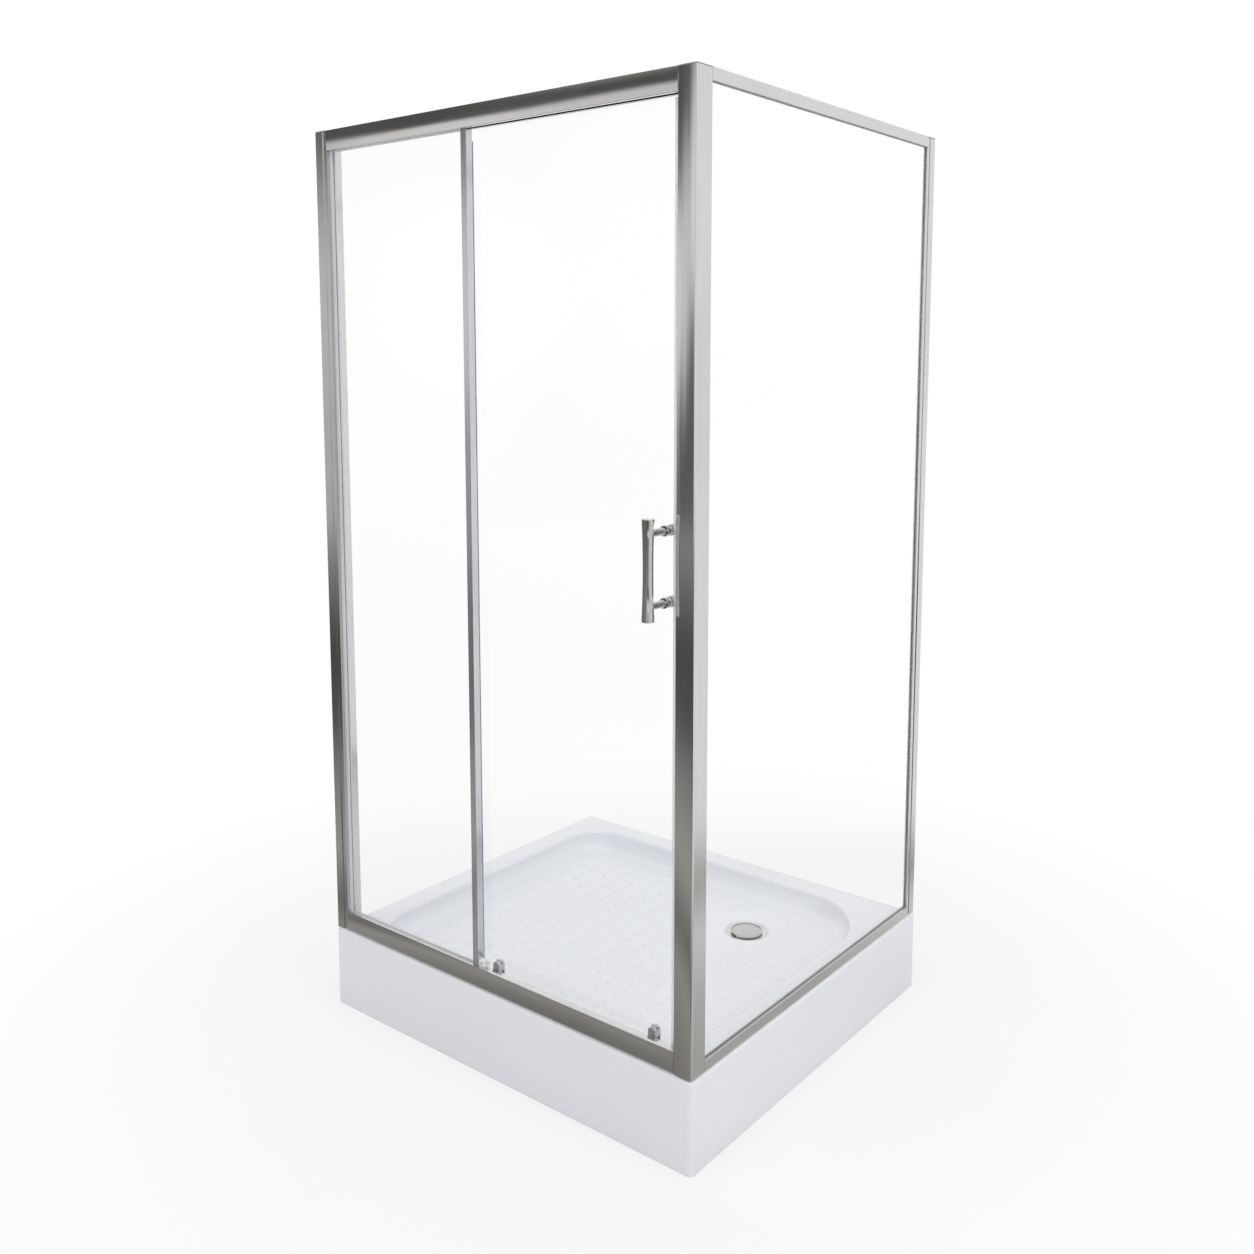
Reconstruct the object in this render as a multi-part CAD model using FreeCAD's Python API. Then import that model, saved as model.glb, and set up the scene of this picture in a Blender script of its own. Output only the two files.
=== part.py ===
import FreeCAD, Part
import math
import os

# Framed shower enclosure on a high acrylic tray: a sliding door and a fixed pane on the
# front, a fixed pane on the right, walls of the room on the left and at the back.
# Millimetres. X runs along the front, Y from the front to the back wall, Z up.
# The origin is on the floor under the middle of the tray, on the centre foot's pad.

V = FreeCAD.Vector

# ---- driving dimensions ----
TRAY_LENGTH = 1000.0
TRAY_DEPTH = 900.0
TRAY_HEIGHT = 180.0
TOTAL_HEIGHT = 1950.0
FRAME_INSET = 5.0
GLASS = 5.0
METAL = 1.6
DOOR_TRAVEL = 370.0
EASE = 0.05
RUNNING_FIT = 0.04

# ---- planes of the frame ----
LEFT_WALL = -TRAY_LENGTH / 2
BACK_WALL = TRAY_DEPTH / 2
FRONT = -TRAY_DEPTH / 2 + FRAME_INSET
RIGHT = TRAY_LENGTH / 2 - FRAME_INSET
BASE = TRAY_HEIGHT
TOP = TOTAL_HEIGHT
CAP = 2.0
FULL_HEIGHT = (BASE, TOP - CAP)

# ---- front rails, corner post and wall channels ----
RAIL_DEPTH = 44.0
TOP_RAIL_HEIGHT = 42.0
THRESHOLD_HEIGHT = 44.0
RAIL_BOW = 1.4
REAR = FRONT + RAIL_DEPTH
PANEL_BACK = FRONT + RAIL_BOW + METAL
TOP_RAIL_LOW = TOP - TOP_RAIL_HEIGHT
THRESHOLD_TOP = BASE + THRESHOLD_HEIGHT
BETWEEN_RAILS = (THRESHOLD_TOP, TOP_RAIL_LOW)
POST_WIDTH = 40.0
POST_LEFT = RIGHT - POST_WIDTH
POST_NOSE_RADIUS = 4.0
POST_BOW = 1.0
POST_CROWN_RADIUS = ((POST_WIDTH / 2) ** 2 + POST_BOW ** 2) / (2 * POST_BOW)
CHANNEL_REACH = 22.0
JAMB_START = 8.0
JAMB_REACH = 34.0
JAMB_SLOT_DEPTH = 20.0
JAMB_SCREW_REACH = 15.0
JAMB_RIM = LEFT_WALL + JAMB_REACH
SLIDE_GAP = 0.2
FRONT_RAIL_X = (JAMB_RIM, POST_LEFT)

# ---- glazing of the front ----
SLOT = 11.0
GASKET_DEPTH = 8.0
GASKET_PROUD = 1.0
JAMB_GASKET_PROUD = 9.0
FIXED_PLANE = FRONT + 13.5
DOOR_PLANE = FRONT + 28.0
FRONT_SLOT_Y = (FIXED_PLANE - SLOT / 2, FIXED_PLANE + SLOT / 2)
WEB_BACK = FRONT_SLOT_Y[1] + METAL
SLOT_CEILING = TOP - 20.0
SLOT_FLOOR = BASE + 25.0
GLASS_BED = 3.0
FIXED_GLASS_X = (JAMB_RIM - JAMB_SLOT_DEPTH + 2.0, -55.5)
FIXED_GLASS_Z = (SLOT_FLOOR + METAL + GLASS_BED, SLOT_CEILING - GLASS_BED)
EDGE_METAL = 1.5
EDGE_X = (-67.0, -52.0)
EDGE_Y = (FIXED_PLANE - 6.0, FIXED_PLANE + 6.0)

# ---- glazing of the side ----
SIDE_SLOT = 9.0
SIDE_METAL = 1.2
SIDE_FRAME_WIDTH = SIDE_SLOT + 4 * SIDE_METAL + 2 * SLIDE_GAP
SIDE_RAIL_HEIGHT = 22.0
SIDE_INNER = RIGHT - SIDE_FRAME_WIDTH
SIDE_PLANE = RIGHT - SIDE_FRAME_WIDTH / 2
SIDE_SLOT_X = (SIDE_PLANE - SIDE_SLOT / 2, SIDE_PLANE + SIDE_SLOT / 2)
SIDE_SLOT_DEPTH = 14.0
SIDE_JAMB_RIM = BACK_WALL - JAMB_REACH
SIDE_RAIL_Y = (REAR, SIDE_JAMB_RIM)
SIDE_GLASS_Z = (BASE + 6.0, TOP - 6.0)

# ---- door ----
DOOR_X = (-74.0, 441.0)
DOOR_Z = (196.0, 1940.0)
DOOR_FRONT = DOOR_PLANE - GLASS / 2
DOOR_BACK = DOOR_PLANE + GLASS / 2
ROLLER_X = (-21.0, 384.0)
SEAL = 1.5
REAR_PROFILE_X = (DOOR_X[0] - 2.0, -55.5)
REAR_PROFILE_Z = (THRESHOLD_TOP + 4.0, TOP_RAIL_LOW - 22.0)
SEAL_LIP_X = (-66.0, -64.5)
SEAL_LIP_Y = (DOOR_FRONT - 4.5, DOOR_FRONT - EDGE_METAL)
REAR_SEAL_END = -54.0
MAGNET_WIDTH = 5.0
FRONT_SEAL_X = (DOOR_X[1] - 8.0, POST_LEFT - 2.4)
FRONT_SEAL_Z = (BASE + 20.0, TOP_RAIL_LOW - 3.0)

# ---- top rollers ----
LEDGE_TOP = TOP - 36.0
LEDGE = 2.0
LEDGE_FRONT = REAR - 10.2
TREAD_RADIUS = 11.5
FLANGE_RADIUS = 13.0
WHEEL_GAP = 0.1
TOP_AXLE_Z = LEDGE_TOP + TREAD_RADIUS + WHEEL_GAP
TOP_WHEEL_Y = (DOOR_BACK + 1.3, DOOR_BACK + 8.6)
TREAD_Y = LEDGE_FRONT - 0.3
AXLE_RADIUS = 3.0
AXLE_NUT_RADIUS = 4.6
AXLE_NUT = 2.4
AXLE_HEAD_RADIUS = 6.0
AXLE_HEAD = 3.4
BEARING_RADIUS = 8.0
BEARING_INSET = 0.7
RACE_GROOVE = (4.6, 6.6, 0.5)
TOP_BUSH_RADIUS = 7.0
STOP_LENGTH = 13.0
STOP_HEIGHT = 16.0

# ---- bottom guides ----
RIB_Y = REAR - 4.5
RIB_WIDTH = 2.0
RIB_TOP = BASE + 17.0
TROUGH_LIP = 7.0
GUIDE_TREAD_RADIUS = 6.0
GUIDE_FLANGE_RADIUS = 8.0
GUIDE_GROOVE_HALF = 1.5
GUIDE_WHEEL_HALF = 3.0
GUIDE_AXLE_Z = RIB_TOP + GUIDE_TREAD_RADIUS + WHEEL_GAP
GUIDE_HALF = 8.5
GUIDE_Y = (DOOR_BACK, DOOR_BACK + 16.5)
GUIDE_Z = (199.0, 234.0)
POCKET_HALF = 6.5
POCKET_Y = (GUIDE_Y[0] + 3.0, GUIDE_Y[1] - 1.5)
POCKET_TOP = 226.0
WINDOW_TOP = 216.0
POCKET_ROOF = 2.0
FORK_HALF = 4.0
FORK_Z = (200.0, 214.0)
SLIDER_HEAD_Z = (212.5, 218.0)
SLIDER_GAP = 0.2
STEM_HALF = 2.5
TONGUE_HALF = 5.0
TONGUE_THICKNESS_HALF = 2.8
TONGUE_PROUD = 2.5
PIN_RADIUS = 1.5
GUIDE_SCREW_RADIUS = 2.0
GUIDE_SCREW_Z = 214.0
GUIDE_BUSH_RADIUS = 4.0
SPRING_WIRE_RADIUS = 0.3
SPRING_RADIUS = 3.6
SPRING_TURNS = 5

# ---- guide foot on the threshold ----
FOOT_X = (EDGE_X[1] + 0.5, -36.0)
FOOT_Y = (FIXED_PLANE - 4.5, FIXED_PLANE + 5.0)
FOOT_TOP = THRESHOLD_TOP + 15.0
FOOT_NOSE_Z = (THRESHOLD_TOP + 1.0, THRESHOLD_TOP + 9.0)
FOOT_CORNER_RADIUS = 4.0
FOOT_SCREW = V(sum(FOOT_X) / 2 - 1, FOOT_Y[0], THRESHOLD_TOP + 7.5)
FOOT_SCREW_RADIUS = 2.2

# ---- handle ----
HANDLE_X = 421.0
HANDLE_Y = -478.0
HANDLE_Z = 1108.0
HANDLE_LENGTH = 180.0
HANDLE_CENTRES = 128.0
HANDLE_HEIGHTS = (HANDLE_Z - HANDLE_CENTRES / 2, HANDLE_Z + HANDLE_CENTRES / 2)
BAR_END_RADIUS = 11.8
BAR_WAIST_RADIUS = 9.6
STANDOFF_RADIUS = 7.0
STANDOFF_START = HANDLE_Y + 6.0
COLLAR_RADIUS = 9.6
COLLAR_START = DOOR_FRONT - 13.5
COLLAR_GROOVE = (5.0, 6.5)
WASHER = 1.5
WASHER_RADIUS = 9.5
KNOB_RADIUS = 10.0
KNOB_LENGTH = 14.5
KNOB_GROOVE = (4.0, 5.5)
KNOB_GROOVE_RADIUS = 8.5
STUD_RADIUS = 3.0
SLEEVE_RADIUS = 6.0

# ---- tray ----
SHELL = 5.0
BOWL_LEFT = -440.0
BOWL_RIGHT = 430.0
BOWL_HALF = 390.0
BOWL_DEPTH = 45.0
BOWL_FLOOR = TRAY_HEIGHT - BOWL_DEPTH
BOWL_RADIUS_LEFT = 90.0
BOWL_RADIUS_RIGHT = 180.0
FLOOR_FILLET = 34.0
RIM_FILLET = 9.0
TRAY_EDGE_RADIUS = 6.0
TRAY_CORNER_RADIUS = 10.0
WALL_LIP = 30.0
DRAIN = V(190.0, 200.0, 0.0)
RECESS_RADIUS = 52.0
RECESS_DEPTH = 5.0
RECESS_FLOOR = BOWL_FLOOR - RECESS_DEPTH
DRAIN_HOLE_RADIUS = 40.0

# ---- tray support ----
BOARD_X = (-395.0, 370.0)
BOARD_HALF = 340.0
BOARD_RADII = (60.0, 120.0)
BOARD_Z = (BOWL_FLOOR - SHELL - 12.0, BOWL_FLOOR - SHELL)
BOARD_CLEARANCE = 8.0
BAR_HEIGHT = 20.0
BAR_WIDTH = 30.0
BAR_WALL = 2.0
LONG_BAR_HALF = 440.0
LONG_BAR_Y = (-290.0, 290.0)
LONG_BAR_Z = (BOARD_Z[0] - BAR_HEIGHT, BOARD_Z[0])
CROSS_BAR_HALF = 400.0
CROSS_BAR_X = (-380.0, 0.0, 380.0)
CROSS_BAR_Z = (LONG_BAR_Z[0] - BAR_HEIGHT, LONG_BAR_Z[0])
LEG_PLACES = ((-380.0, -360.0), (-380.0, 360.0), (0.0, 0.0), (380.0, -360.0), (380.0, 360.0))
LEG_RADIUS = 6.0
LEG_START = 6.0
PAD_RADIUS = 25.0
PAD_RIM = 5.0
PAD_NECK_RADIUS = 11.0
PAD_HEIGHT = 14.0
NUT_HEIGHT = 10.0
NUT_ACROSS = 19.0
NUT_DROPS = (10.0, 24.0)

# ---- waste ----
WASTE_FLANGE_RADIUS = 45.0
WASTE_FLANGE = 2.5
WASTE_TUBE_RADIUS = 38.0
WASTE_TUBE_END = 100.0
WASTE_BORE_RADIUS = 34.0
GASKET_RING = 3.0
GASKET_RING_RADIUS = 50.0
TRAP_RADIUS = 52.0
TRAP_WALL = 3.0
TRAP_LOW = 36.0
TRAP_TOP = RECESS_FLOOR - SHELL - GASKET_RING
OUTLET_RADIUS = 25.0
OUTLET_Z = 66.0
OUTLET_COLLAR_RADIUS = 28.0
OUTLET_COLLAR_END = 260.0
OUTLET_END = 320.0
COVER_RADIUS = 38.0
COVER_PLATE = 1.6
COVER_RIM = 3.5
COVER_RISE = 1.4
COVER_LIFT_GAP = 2.0
COVER_FOOT_PLACE = 35.4
COVER_FOOT_RADIUS = 2.0
PLUG_RADIUS = 14.0
PLUG_LOW = 112.0

# ---- screws ----
WALL_HOLE_RADIUS = 2.75
WALL_HOLE_HEIGHTS = (315.0, 815.0, 1315.0, 1815.0)
JAMB_SCREW_HEIGHTS = (330.0, 1065.0, 1800.0)
JAMB_SCREW_RADIUS = 1.9
JAMB_SCREW_HEAD_RADIUS = 3.8
RAIL_SCREW_RADIUS = 1.9
RAIL_SCREW_HEAD_RADIUS = 3.0
RAIL_SCREW_HEAD = 2.4
RAIL_SCREW_BITE = 18.0
PAN_HEAD = 2.0
GUIDE_SCREW_HEAD_RADIUS = 4.5
BOSS_RADIUS = 3.6
BOSS_MERGE = 0.1
THRESHOLD_BOSS = (WEB_BACK + BOSS_RADIUS - BOSS_MERGE, BASE + METAL + BOSS_RADIUS - BOSS_MERGE)
TOP_BOSS = (REAR - 7.5, TOP - METAL - BOSS_RADIUS + BOSS_MERGE)


# ---- shapes that repeat ----
def box(x, y, z):
    """A block between the two ends given on each axis."""
    return Part.makeBox(x[1] - x[0], y[1] - y[0], z[1] - z[0], V(x[0], y[0], z[0]))


def rod(radius, start, end):
    """A round bar from one point to another."""
    return Part.makeCylinder(radius, (end - start).Length, start, end - start)


def ring(outer, inner, start, end):
    """A round bar with a round bore."""
    return rod(outer, start, end).cut(rod(inner, start, end))


def join(pieces):
    """One solid made of pieces that meet."""
    return pieces[0].fuse(pieces[1:]).removeSplitter()


def about(middle, half):
    """The two ends of a span round its middle."""
    return (middle - half, middle + half)


def inward(span, wall):
    """A span shortened by a wall at both of its ends."""
    return (span[0] + wall, span[1] - wall)


def walls(span, wall):
    """The two spans that the walls at its ends take up."""
    return ((span[0], span[0] + wall), (span[1] - wall, span[1]))


def is_upright(edge, x, y):
    """Whether an edge is a vertical line at this x and y."""
    first, last = edge.Vertexes[0].Point, edge.Vertexes[-1].Point
    vertical = abs(first.z - last.z) > 1 and (first - last).cross(V(0, 0, 1)).Length < 1e-6
    return vertical and abs(first.x - x) < 1e-6 and abs(first.y - y) < 1e-6


def round_uprights(shape, radius, corners):
    """Round the vertical edges of a shape at the corners given as (x, y)."""
    edges = [e for e in shape.Edges if any(is_upright(e, x, y) for x, y in corners)]
    return shape.makeFillet(radius, edges)


def rounded_block(x, y, z, radii):
    """A block with rounded upright edges: one radius at the left, one at the right."""
    block = box(x, y, z)
    for radius, side in zip(radii, x):
        block = round_uprights(block, radius, [(side, y[0]), (side, y[1])])
    return block


def bowed_panel(x, z):
    """The front wall of a rail: a slightly crowned face with softened long edges."""
    edge_y = FRONT + RAIL_BOW
    low = V(x[0], edge_y, z[0])
    high = V(x[0], edge_y, z[1])
    crown = Part.Arc(low, V(x[0], FRONT, sum(z) / 2), high).toShape()
    back = Part.makePolygon([high, V(x[0], PANEL_BACK, z[1]), V(x[0], PANEL_BACK, z[0]), low])
    panel = Part.Face(Part.Wire([crown] + back.Edges)).extrude(V(x[1] - x[0], 0, 0))
    along = [e for e in panel.Edges if e.BoundBox.XLength > 1]
    return panel.makeFillet(0.8, [e for e in along if abs(e.CenterOfMass.y - edge_y) < 1e-6])


def pan_screw(seat, towards, head, shank, reach):
    """A pan-head screw: its head stands on seat, its shank runs the other way."""
    top = rod(head, seat, seat + towards * PAN_HEAD)
    rim = [e for e in top.Edges if abs((e.CenterOfMass - seat).dot(towards) - PAN_HEAD) < 1e-6]
    return top.makeFillet(1.2, rim).fuse(rod(shank, seat - towards * reach, seat))


def save(name, *solids):
    """Write one node: a solid, or a group of like solids."""
    shape = solids[0] if len(solids) == 1 else Part.makeCompound(list(solids))
    shape.exportStep(os.path.join("parts", name + ".step"))


# ---- tray ----
def bowl(grow, low):
    """The bowl's inside from a floor level up, or with grow the outside of its shell."""
    x = (BOWL_LEFT - grow, BOWL_RIGHT + grow)
    y = about(0, BOWL_HALF + grow)
    radii = (BOWL_RADIUS_LEFT + grow, BOWL_RADIUS_RIGHT + grow)
    block = rounded_block(x, y, (low, TRAY_HEIGHT + BOWL_DEPTH), radii)
    floor_edges = [e for e in block.Edges if e.BoundBox.ZMax < low + 1e-6]
    return block.makeFillet(FLOOR_FILLET + grow, floor_edges)


def tray_block():
    """The tray's outer block with rounded corners and a rounded top edge."""
    x = about(0, TRAY_LENGTH / 2)
    y = about(0, TRAY_DEPTH / 2)
    block = rounded_block(x, y, (0, TRAY_HEIGHT), (TRAY_CORNER_RADIUS, TRAY_CORNER_RADIUS))
    top_edges = [e for e in block.Edges if e.BoundBox.ZMin > TRAY_HEIGHT - 1e-6]
    return block.makeFillet(TRAY_EDGE_RADIUS, top_edges)


def is_bowl_rim(edge):
    """Whether an edge is where the flat rim turns down into the bowl."""
    bounds = edge.BoundBox
    inside = bounds.XMin > BOWL_LEFT - 1 and bounds.XMax < BOWL_RIGHT + 1
    level = bounds.ZMin > TRAY_HEIGHT - 1e-6 and bounds.ZMax < TRAY_HEIGHT + 1e-6
    return inside and level and abs(bounds.YMin) < BOWL_HALF + 1


def drain_point(z):
    """The point at height z on the waste's axis."""
    return DRAIN + V(0, 0, z)


def shower_tray():
    """Acrylic shell: bowl, flat rim, aprons at the front and right, short wall lips."""
    outside = tray_block().cut(bowl(0, BOWL_FLOOR))
    outside = outside.makeFillet(RIM_FILLET, [e for e in outside.Edges if is_bowl_rim(e)])
    inner_x = about(0, TRAY_LENGTH / 2 - SHELL)
    inner_y = about(0, TRAY_DEPTH / 2 - SHELL)
    under = box(inner_x, inner_y, (-1, TRAY_HEIGHT - SHELL))
    under = under.cut(bowl(SHELL, BOWL_FLOOR - SHELL))
    boss = rod(RECESS_RADIUS + SHELL, drain_point(RECESS_FLOOR - SHELL), drain_point(BOWL_FLOOR - 1))
    recess = Part.makeCone(
        RECESS_RADIUS - RECESS_DEPTH, RECESS_RADIUS, RECESS_DEPTH, drain_point(RECESS_FLOOR)
    )
    hole = rod(DRAIN_HOLE_RADIUS, drain_point(0), drain_point(TRAY_HEIGHT))
    lip_low = TRAY_HEIGHT - WALL_LIP
    apron = SHELL + TRAY_CORNER_RADIUS
    open_left = box((-TRAY_LENGTH, inner_x[0] + 1), (inner_y[0] + apron, TRAY_DEPTH), (-1, lip_low))
    open_back = box((-TRAY_LENGTH, inner_x[1] - apron), (inner_y[1] - 1, TRAY_DEPTH), (-1, lip_low))
    return outside.cut(under.cut(boss)).cut([recess, hole, open_left, open_back])


def support_board():
    """Stiffening board bonded under the bowl's floor, cut out round the waste."""
    board = rounded_block(BOARD_X, about(0, BOARD_HALF), BOARD_Z, BOARD_RADII)
    cut_out = RECESS_RADIUS + SHELL + BOARD_CLEARANCE
    return board.cut(rod(cut_out, drain_point(0), drain_point(TRAY_HEIGHT)))


def frame_long_bars():
    """Two square steel tubes under the board, from side to side."""
    x = about(0, LONG_BAR_HALF)
    bars = []
    for middle in LONG_BAR_Y:
        y = about(middle, BAR_WIDTH / 2)
        hollow = box(x, inward(y, BAR_WALL), inward(LONG_BAR_Z, BAR_WALL))
        bars.append(box(x, y, LONG_BAR_Z).cut(hollow))
    return bars


def frame_cross_bars():
    """Three square steel tubes from front to back, welded under the long ones."""
    y = about(0, CROSS_BAR_HALF)
    bars = []
    for middle in CROSS_BAR_X:
        x = about(middle, BAR_WIDTH / 2)
        hollow = box(inward(x, BAR_WALL), y, inward(CROSS_BAR_Z, BAR_WALL))
        bars.append(box(x, y, CROSS_BAR_Z).cut(hollow))
    return bars


def leg_studs():
    """Threaded legs that set the tray level."""
    return [rod(LEG_RADIUS, V(x, y, LEG_START), V(x, y, CROSS_BAR_Z[0])) for x, y in LEG_PLACES]


def leg_pads():
    """Moulded feet on the ends of the legs."""
    pads = []
    for x, y in LEG_PLACES:
        foot = Part.makeCylinder(PAD_RADIUS, PAD_RIM, V(x, y, 0))
        cone = Part.makeCone(PAD_RADIUS, PAD_NECK_RADIUS, PAD_HEIGHT - PAD_RIM, V(x, y, PAD_RIM))
        socket = rod(LEG_RADIUS + EASE, V(x, y, LEG_START), V(x, y, PAD_HEIGHT + 1))
        pads.append(foot.fuse(cone).cut(socket))
    return pads


def hex_nut(place):
    """A hexagon nut standing on a point, bored for a leg."""
    turns = [math.radians(60 * step) for step in range(7)]
    reach = NUT_ACROSS / math.sqrt(3)
    corners = [place + V(math.cos(turn), math.sin(turn), 0) * reach for turn in turns]
    body = Part.Face(Part.makePolygon(corners)).extrude(V(0, 0, NUT_HEIGHT))
    return body.cut(rod(LEG_RADIUS + EASE, place, place + V(0, 0, NUT_HEIGHT)))


def leg_nuts():
    """A nut under the frame and a lock nut below it, on every leg."""
    return [hex_nut(V(x, y, CROSS_BAR_Z[0] - drop)) for x, y in LEG_PLACES for drop in NUT_DROPS]


# ---- waste ----
def drain_flange():
    """Waste flange in the recess, with the tube that screws into the trap."""
    flange_top = drain_point(RECESS_FLOOR + WASTE_FLANGE)
    plate = rod(WASTE_FLANGE_RADIUS, drain_point(RECESS_FLOOR), flange_top)
    tube = rod(WASTE_TUBE_RADIUS, drain_point(WASTE_TUBE_END), drain_point(RECESS_FLOOR))
    bore = rod(WASTE_BORE_RADIUS, drain_point(WASTE_TUBE_END - 1), drain_point(TRAY_HEIGHT))
    return plate.fuse(tube).cut(bore).removeSplitter()


def drain_gasket():
    """Rubber ring between the tray and the trap."""
    top = drain_point(TRAP_TOP + GASKET_RING)
    return ring(GASKET_RING_RADIUS, WASTE_TUBE_RADIUS + EASE, drain_point(TRAP_TOP), top)


def drain_trap():
    """Moulded trap under the tray, with a spigot towards the back wall."""
    inner_radius = TRAP_RADIUS - TRAP_WALL
    cup = rod(TRAP_RADIUS, drain_point(TRAP_LOW), drain_point(TRAP_TOP))
    collar_start = drain_point(OUTLET_Z) + V(0, inner_radius - 5, 0)
    collar_end = V(DRAIN.x, OUTLET_COLLAR_END, OUTLET_Z)
    outlet_end = V(DRAIN.x, OUTLET_END, OUTLET_Z)
    collar = rod(OUTLET_COLLAR_RADIUS, collar_start, collar_end)
    outlet = rod(OUTLET_RADIUS, collar_end, outlet_end)
    inside = rod(inner_radius, drain_point(TRAP_LOW + TRAP_WALL), drain_point(WASTE_TUBE_END))
    throat = rod(WASTE_TUBE_RADIUS + EASE, drain_point(WASTE_TUBE_END - 1), drain_point(TRAP_TOP + 1))
    pipe_bore = rod(OUTLET_RADIUS - TRAP_WALL, drain_point(OUTLET_Z), outlet_end)
    return join([cup, collar, outlet]).cut([inside, throat, pipe_bore])


def drain_cover():
    """Chromed lift-out cover with a raised rim and crown, on three feet, with its plug."""
    seat = RECESS_FLOOR + WASTE_FLANGE
    low = seat + COVER_LIFT_GAP
    high = low + COVER_PLATE
    top = drain_point(high + COVER_RISE)
    plate = rod(COVER_RADIUS, drain_point(low), drain_point(high))
    rim = ring(COVER_RADIUS, COVER_RADIUS - COVER_RIM, drain_point(high), top)
    crown = Part.makeCone(COVER_RADIUS - 7, 8.0, COVER_RISE, drain_point(high))
    plug = ring(PLUG_RADIUS, PLUG_RADIUS - 2, drain_point(PLUG_LOW), drain_point(low))
    feet = []
    for turn in (30, 150, 270):
        angle = math.radians(turn)
        place = DRAIN + V(math.cos(angle), math.sin(angle), 0) * COVER_FOOT_PLACE
        feet.append(rod(COVER_FOOT_RADIUS, place + V(0, 0, seat + EASE), place + V(0, 0, low)))
    return join([plate, rim, crown, plug] + feet)


# ---- wall channels and jambs ----
def wall_channel_left():
    """U-shaped channel screwed to the left wall."""
    x = (LEFT_WALL, LEFT_WALL + CHANNEL_REACH)
    sides = [box(x, y, FULL_HEIGHT) for y in walls((FRONT, REAR), METAL)]
    channel = join([box((LEFT_WALL, LEFT_WALL + METAL), (FRONT, REAR), FULL_HEIGHT)] + sides)
    middle = (FRONT + REAR) / 2
    for z in WALL_HOLE_HEIGHTS:
        channel = channel.cut(rod(WALL_HOLE_RADIUS, V(x[0] - 1, middle, z), V(x[0] + 5, middle, z)))
    screw_x = LEFT_WALL + JAMB_SCREW_REACH
    for z in JAMB_SCREW_HEIGHTS:
        hole = rod(JAMB_SCREW_RADIUS + EASE, V(screw_x, REAR - 5, z), V(screw_x, REAR + 1, z))
        channel = channel.cut(hole)
    return channel


def jamb_left():
    """Upright that slides in the wall channel and holds the fixed pane's edge."""
    x = (LEFT_WALL + JAMB_START, JAMB_RIM)
    y = inward((FRONT, REAR), METAL + SLIDE_GAP)
    slot_floor = JAMB_RIM - JAMB_SLOT_DEPTH
    outer_y = inward(FRONT_SLOT_Y, -METAL)
    sides = [box(x, span, FULL_HEIGHT) for span in walls(y, METAL)]
    cheeks = [box((slot_floor, JAMB_RIM), span, FULL_HEIGHT) for span in walls(outer_y, METAL)]
    rim_x = (JAMB_RIM - METAL, JAMB_RIM)
    jamb = join(sides + cheeks + [
        box((slot_floor - METAL, slot_floor), outer_y, FULL_HEIGHT),
        box(rim_x, (y[0], FRONT_SLOT_Y[0]), FULL_HEIGHT),
        box(rim_x, (FRONT_SLOT_Y[1], y[1]), FULL_HEIGHT),
    ])
    for hole_y, hole_z in (THRESHOLD_BOSS, TOP_BOSS):
        start, end = V(JAMB_RIM - 5, hole_y, hole_z), V(JAMB_RIM + 1, hole_y, hole_z)
        jamb = jamb.cut(rod(RAIL_SCREW_RADIUS + EASE, start, end))
    screw_x = LEFT_WALL + JAMB_SCREW_REACH
    for z in JAMB_SCREW_HEIGHTS:
        hole = rod(JAMB_SCREW_RADIUS + EASE, V(screw_x, y[1] - 3, z), V(screw_x, y[1] + 1, z))
        jamb = jamb.cut(hole)
    return jamb


def wall_channel_back():
    """U-shaped channel screwed to the back wall."""
    y = (BACK_WALL - CHANNEL_REACH, BACK_WALL)
    sides = [box(x, y, FULL_HEIGHT) for x in walls((SIDE_INNER, RIGHT), SIDE_METAL)]
    channel = join([box((SIDE_INNER, RIGHT), (y[1] - SIDE_METAL, y[1]), FULL_HEIGHT)] + sides)
    for z in WALL_HOLE_HEIGHTS:
        start, end = V(SIDE_PLANE, BACK_WALL - 5, z), V(SIDE_PLANE, BACK_WALL + 1, z)
        channel = channel.cut(rod(WALL_HOLE_RADIUS, start, end))
    screw_y = BACK_WALL - JAMB_SCREW_REACH
    for z in JAMB_SCREW_HEIGHTS:
        start, end = V(SIDE_INNER - 1, screw_y, z), V(SIDE_INNER + 3, screw_y, z)
        channel = channel.cut(rod(JAMB_SCREW_RADIUS + EASE, start, end))
    return channel


def jamb_back():
    """Upright that slides in the back channel and holds the side pane's edge."""
    x = inward((SIDE_INNER, RIGHT), SIDE_METAL + SLIDE_GAP)
    y = (SIDE_JAMB_RIM, BACK_WALL - JAMB_START)
    slot_floor = SIDE_JAMB_RIM + SIDE_SLOT_DEPTH
    sides = [box(span, y, FULL_HEIGHT) for span in walls(x, SIDE_METAL)]
    jamb = join(sides + [box(x, (slot_floor, slot_floor + SIDE_METAL), FULL_HEIGHT)])
    screw_y = BACK_WALL - JAMB_SCREW_REACH
    for z in JAMB_SCREW_HEIGHTS:
        start, end = V(x[0] - 1, screw_y, z), V(x[0] + 3, screw_y, z)
        jamb = jamb.cut(rod(JAMB_SCREW_RADIUS + EASE, start, end))
    return jamb


# ---- rails and corner post ----
def rail_boss(place):
    """The round boss along a front rail that its end screws bite into."""
    y, z = place
    start, end = V(FRONT_RAIL_X[0], y, z), V(FRONT_RAIL_X[1], y, z)
    return ring(BOSS_RADIUS, RAIL_SCREW_RADIUS + EASE, start, end)


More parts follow.
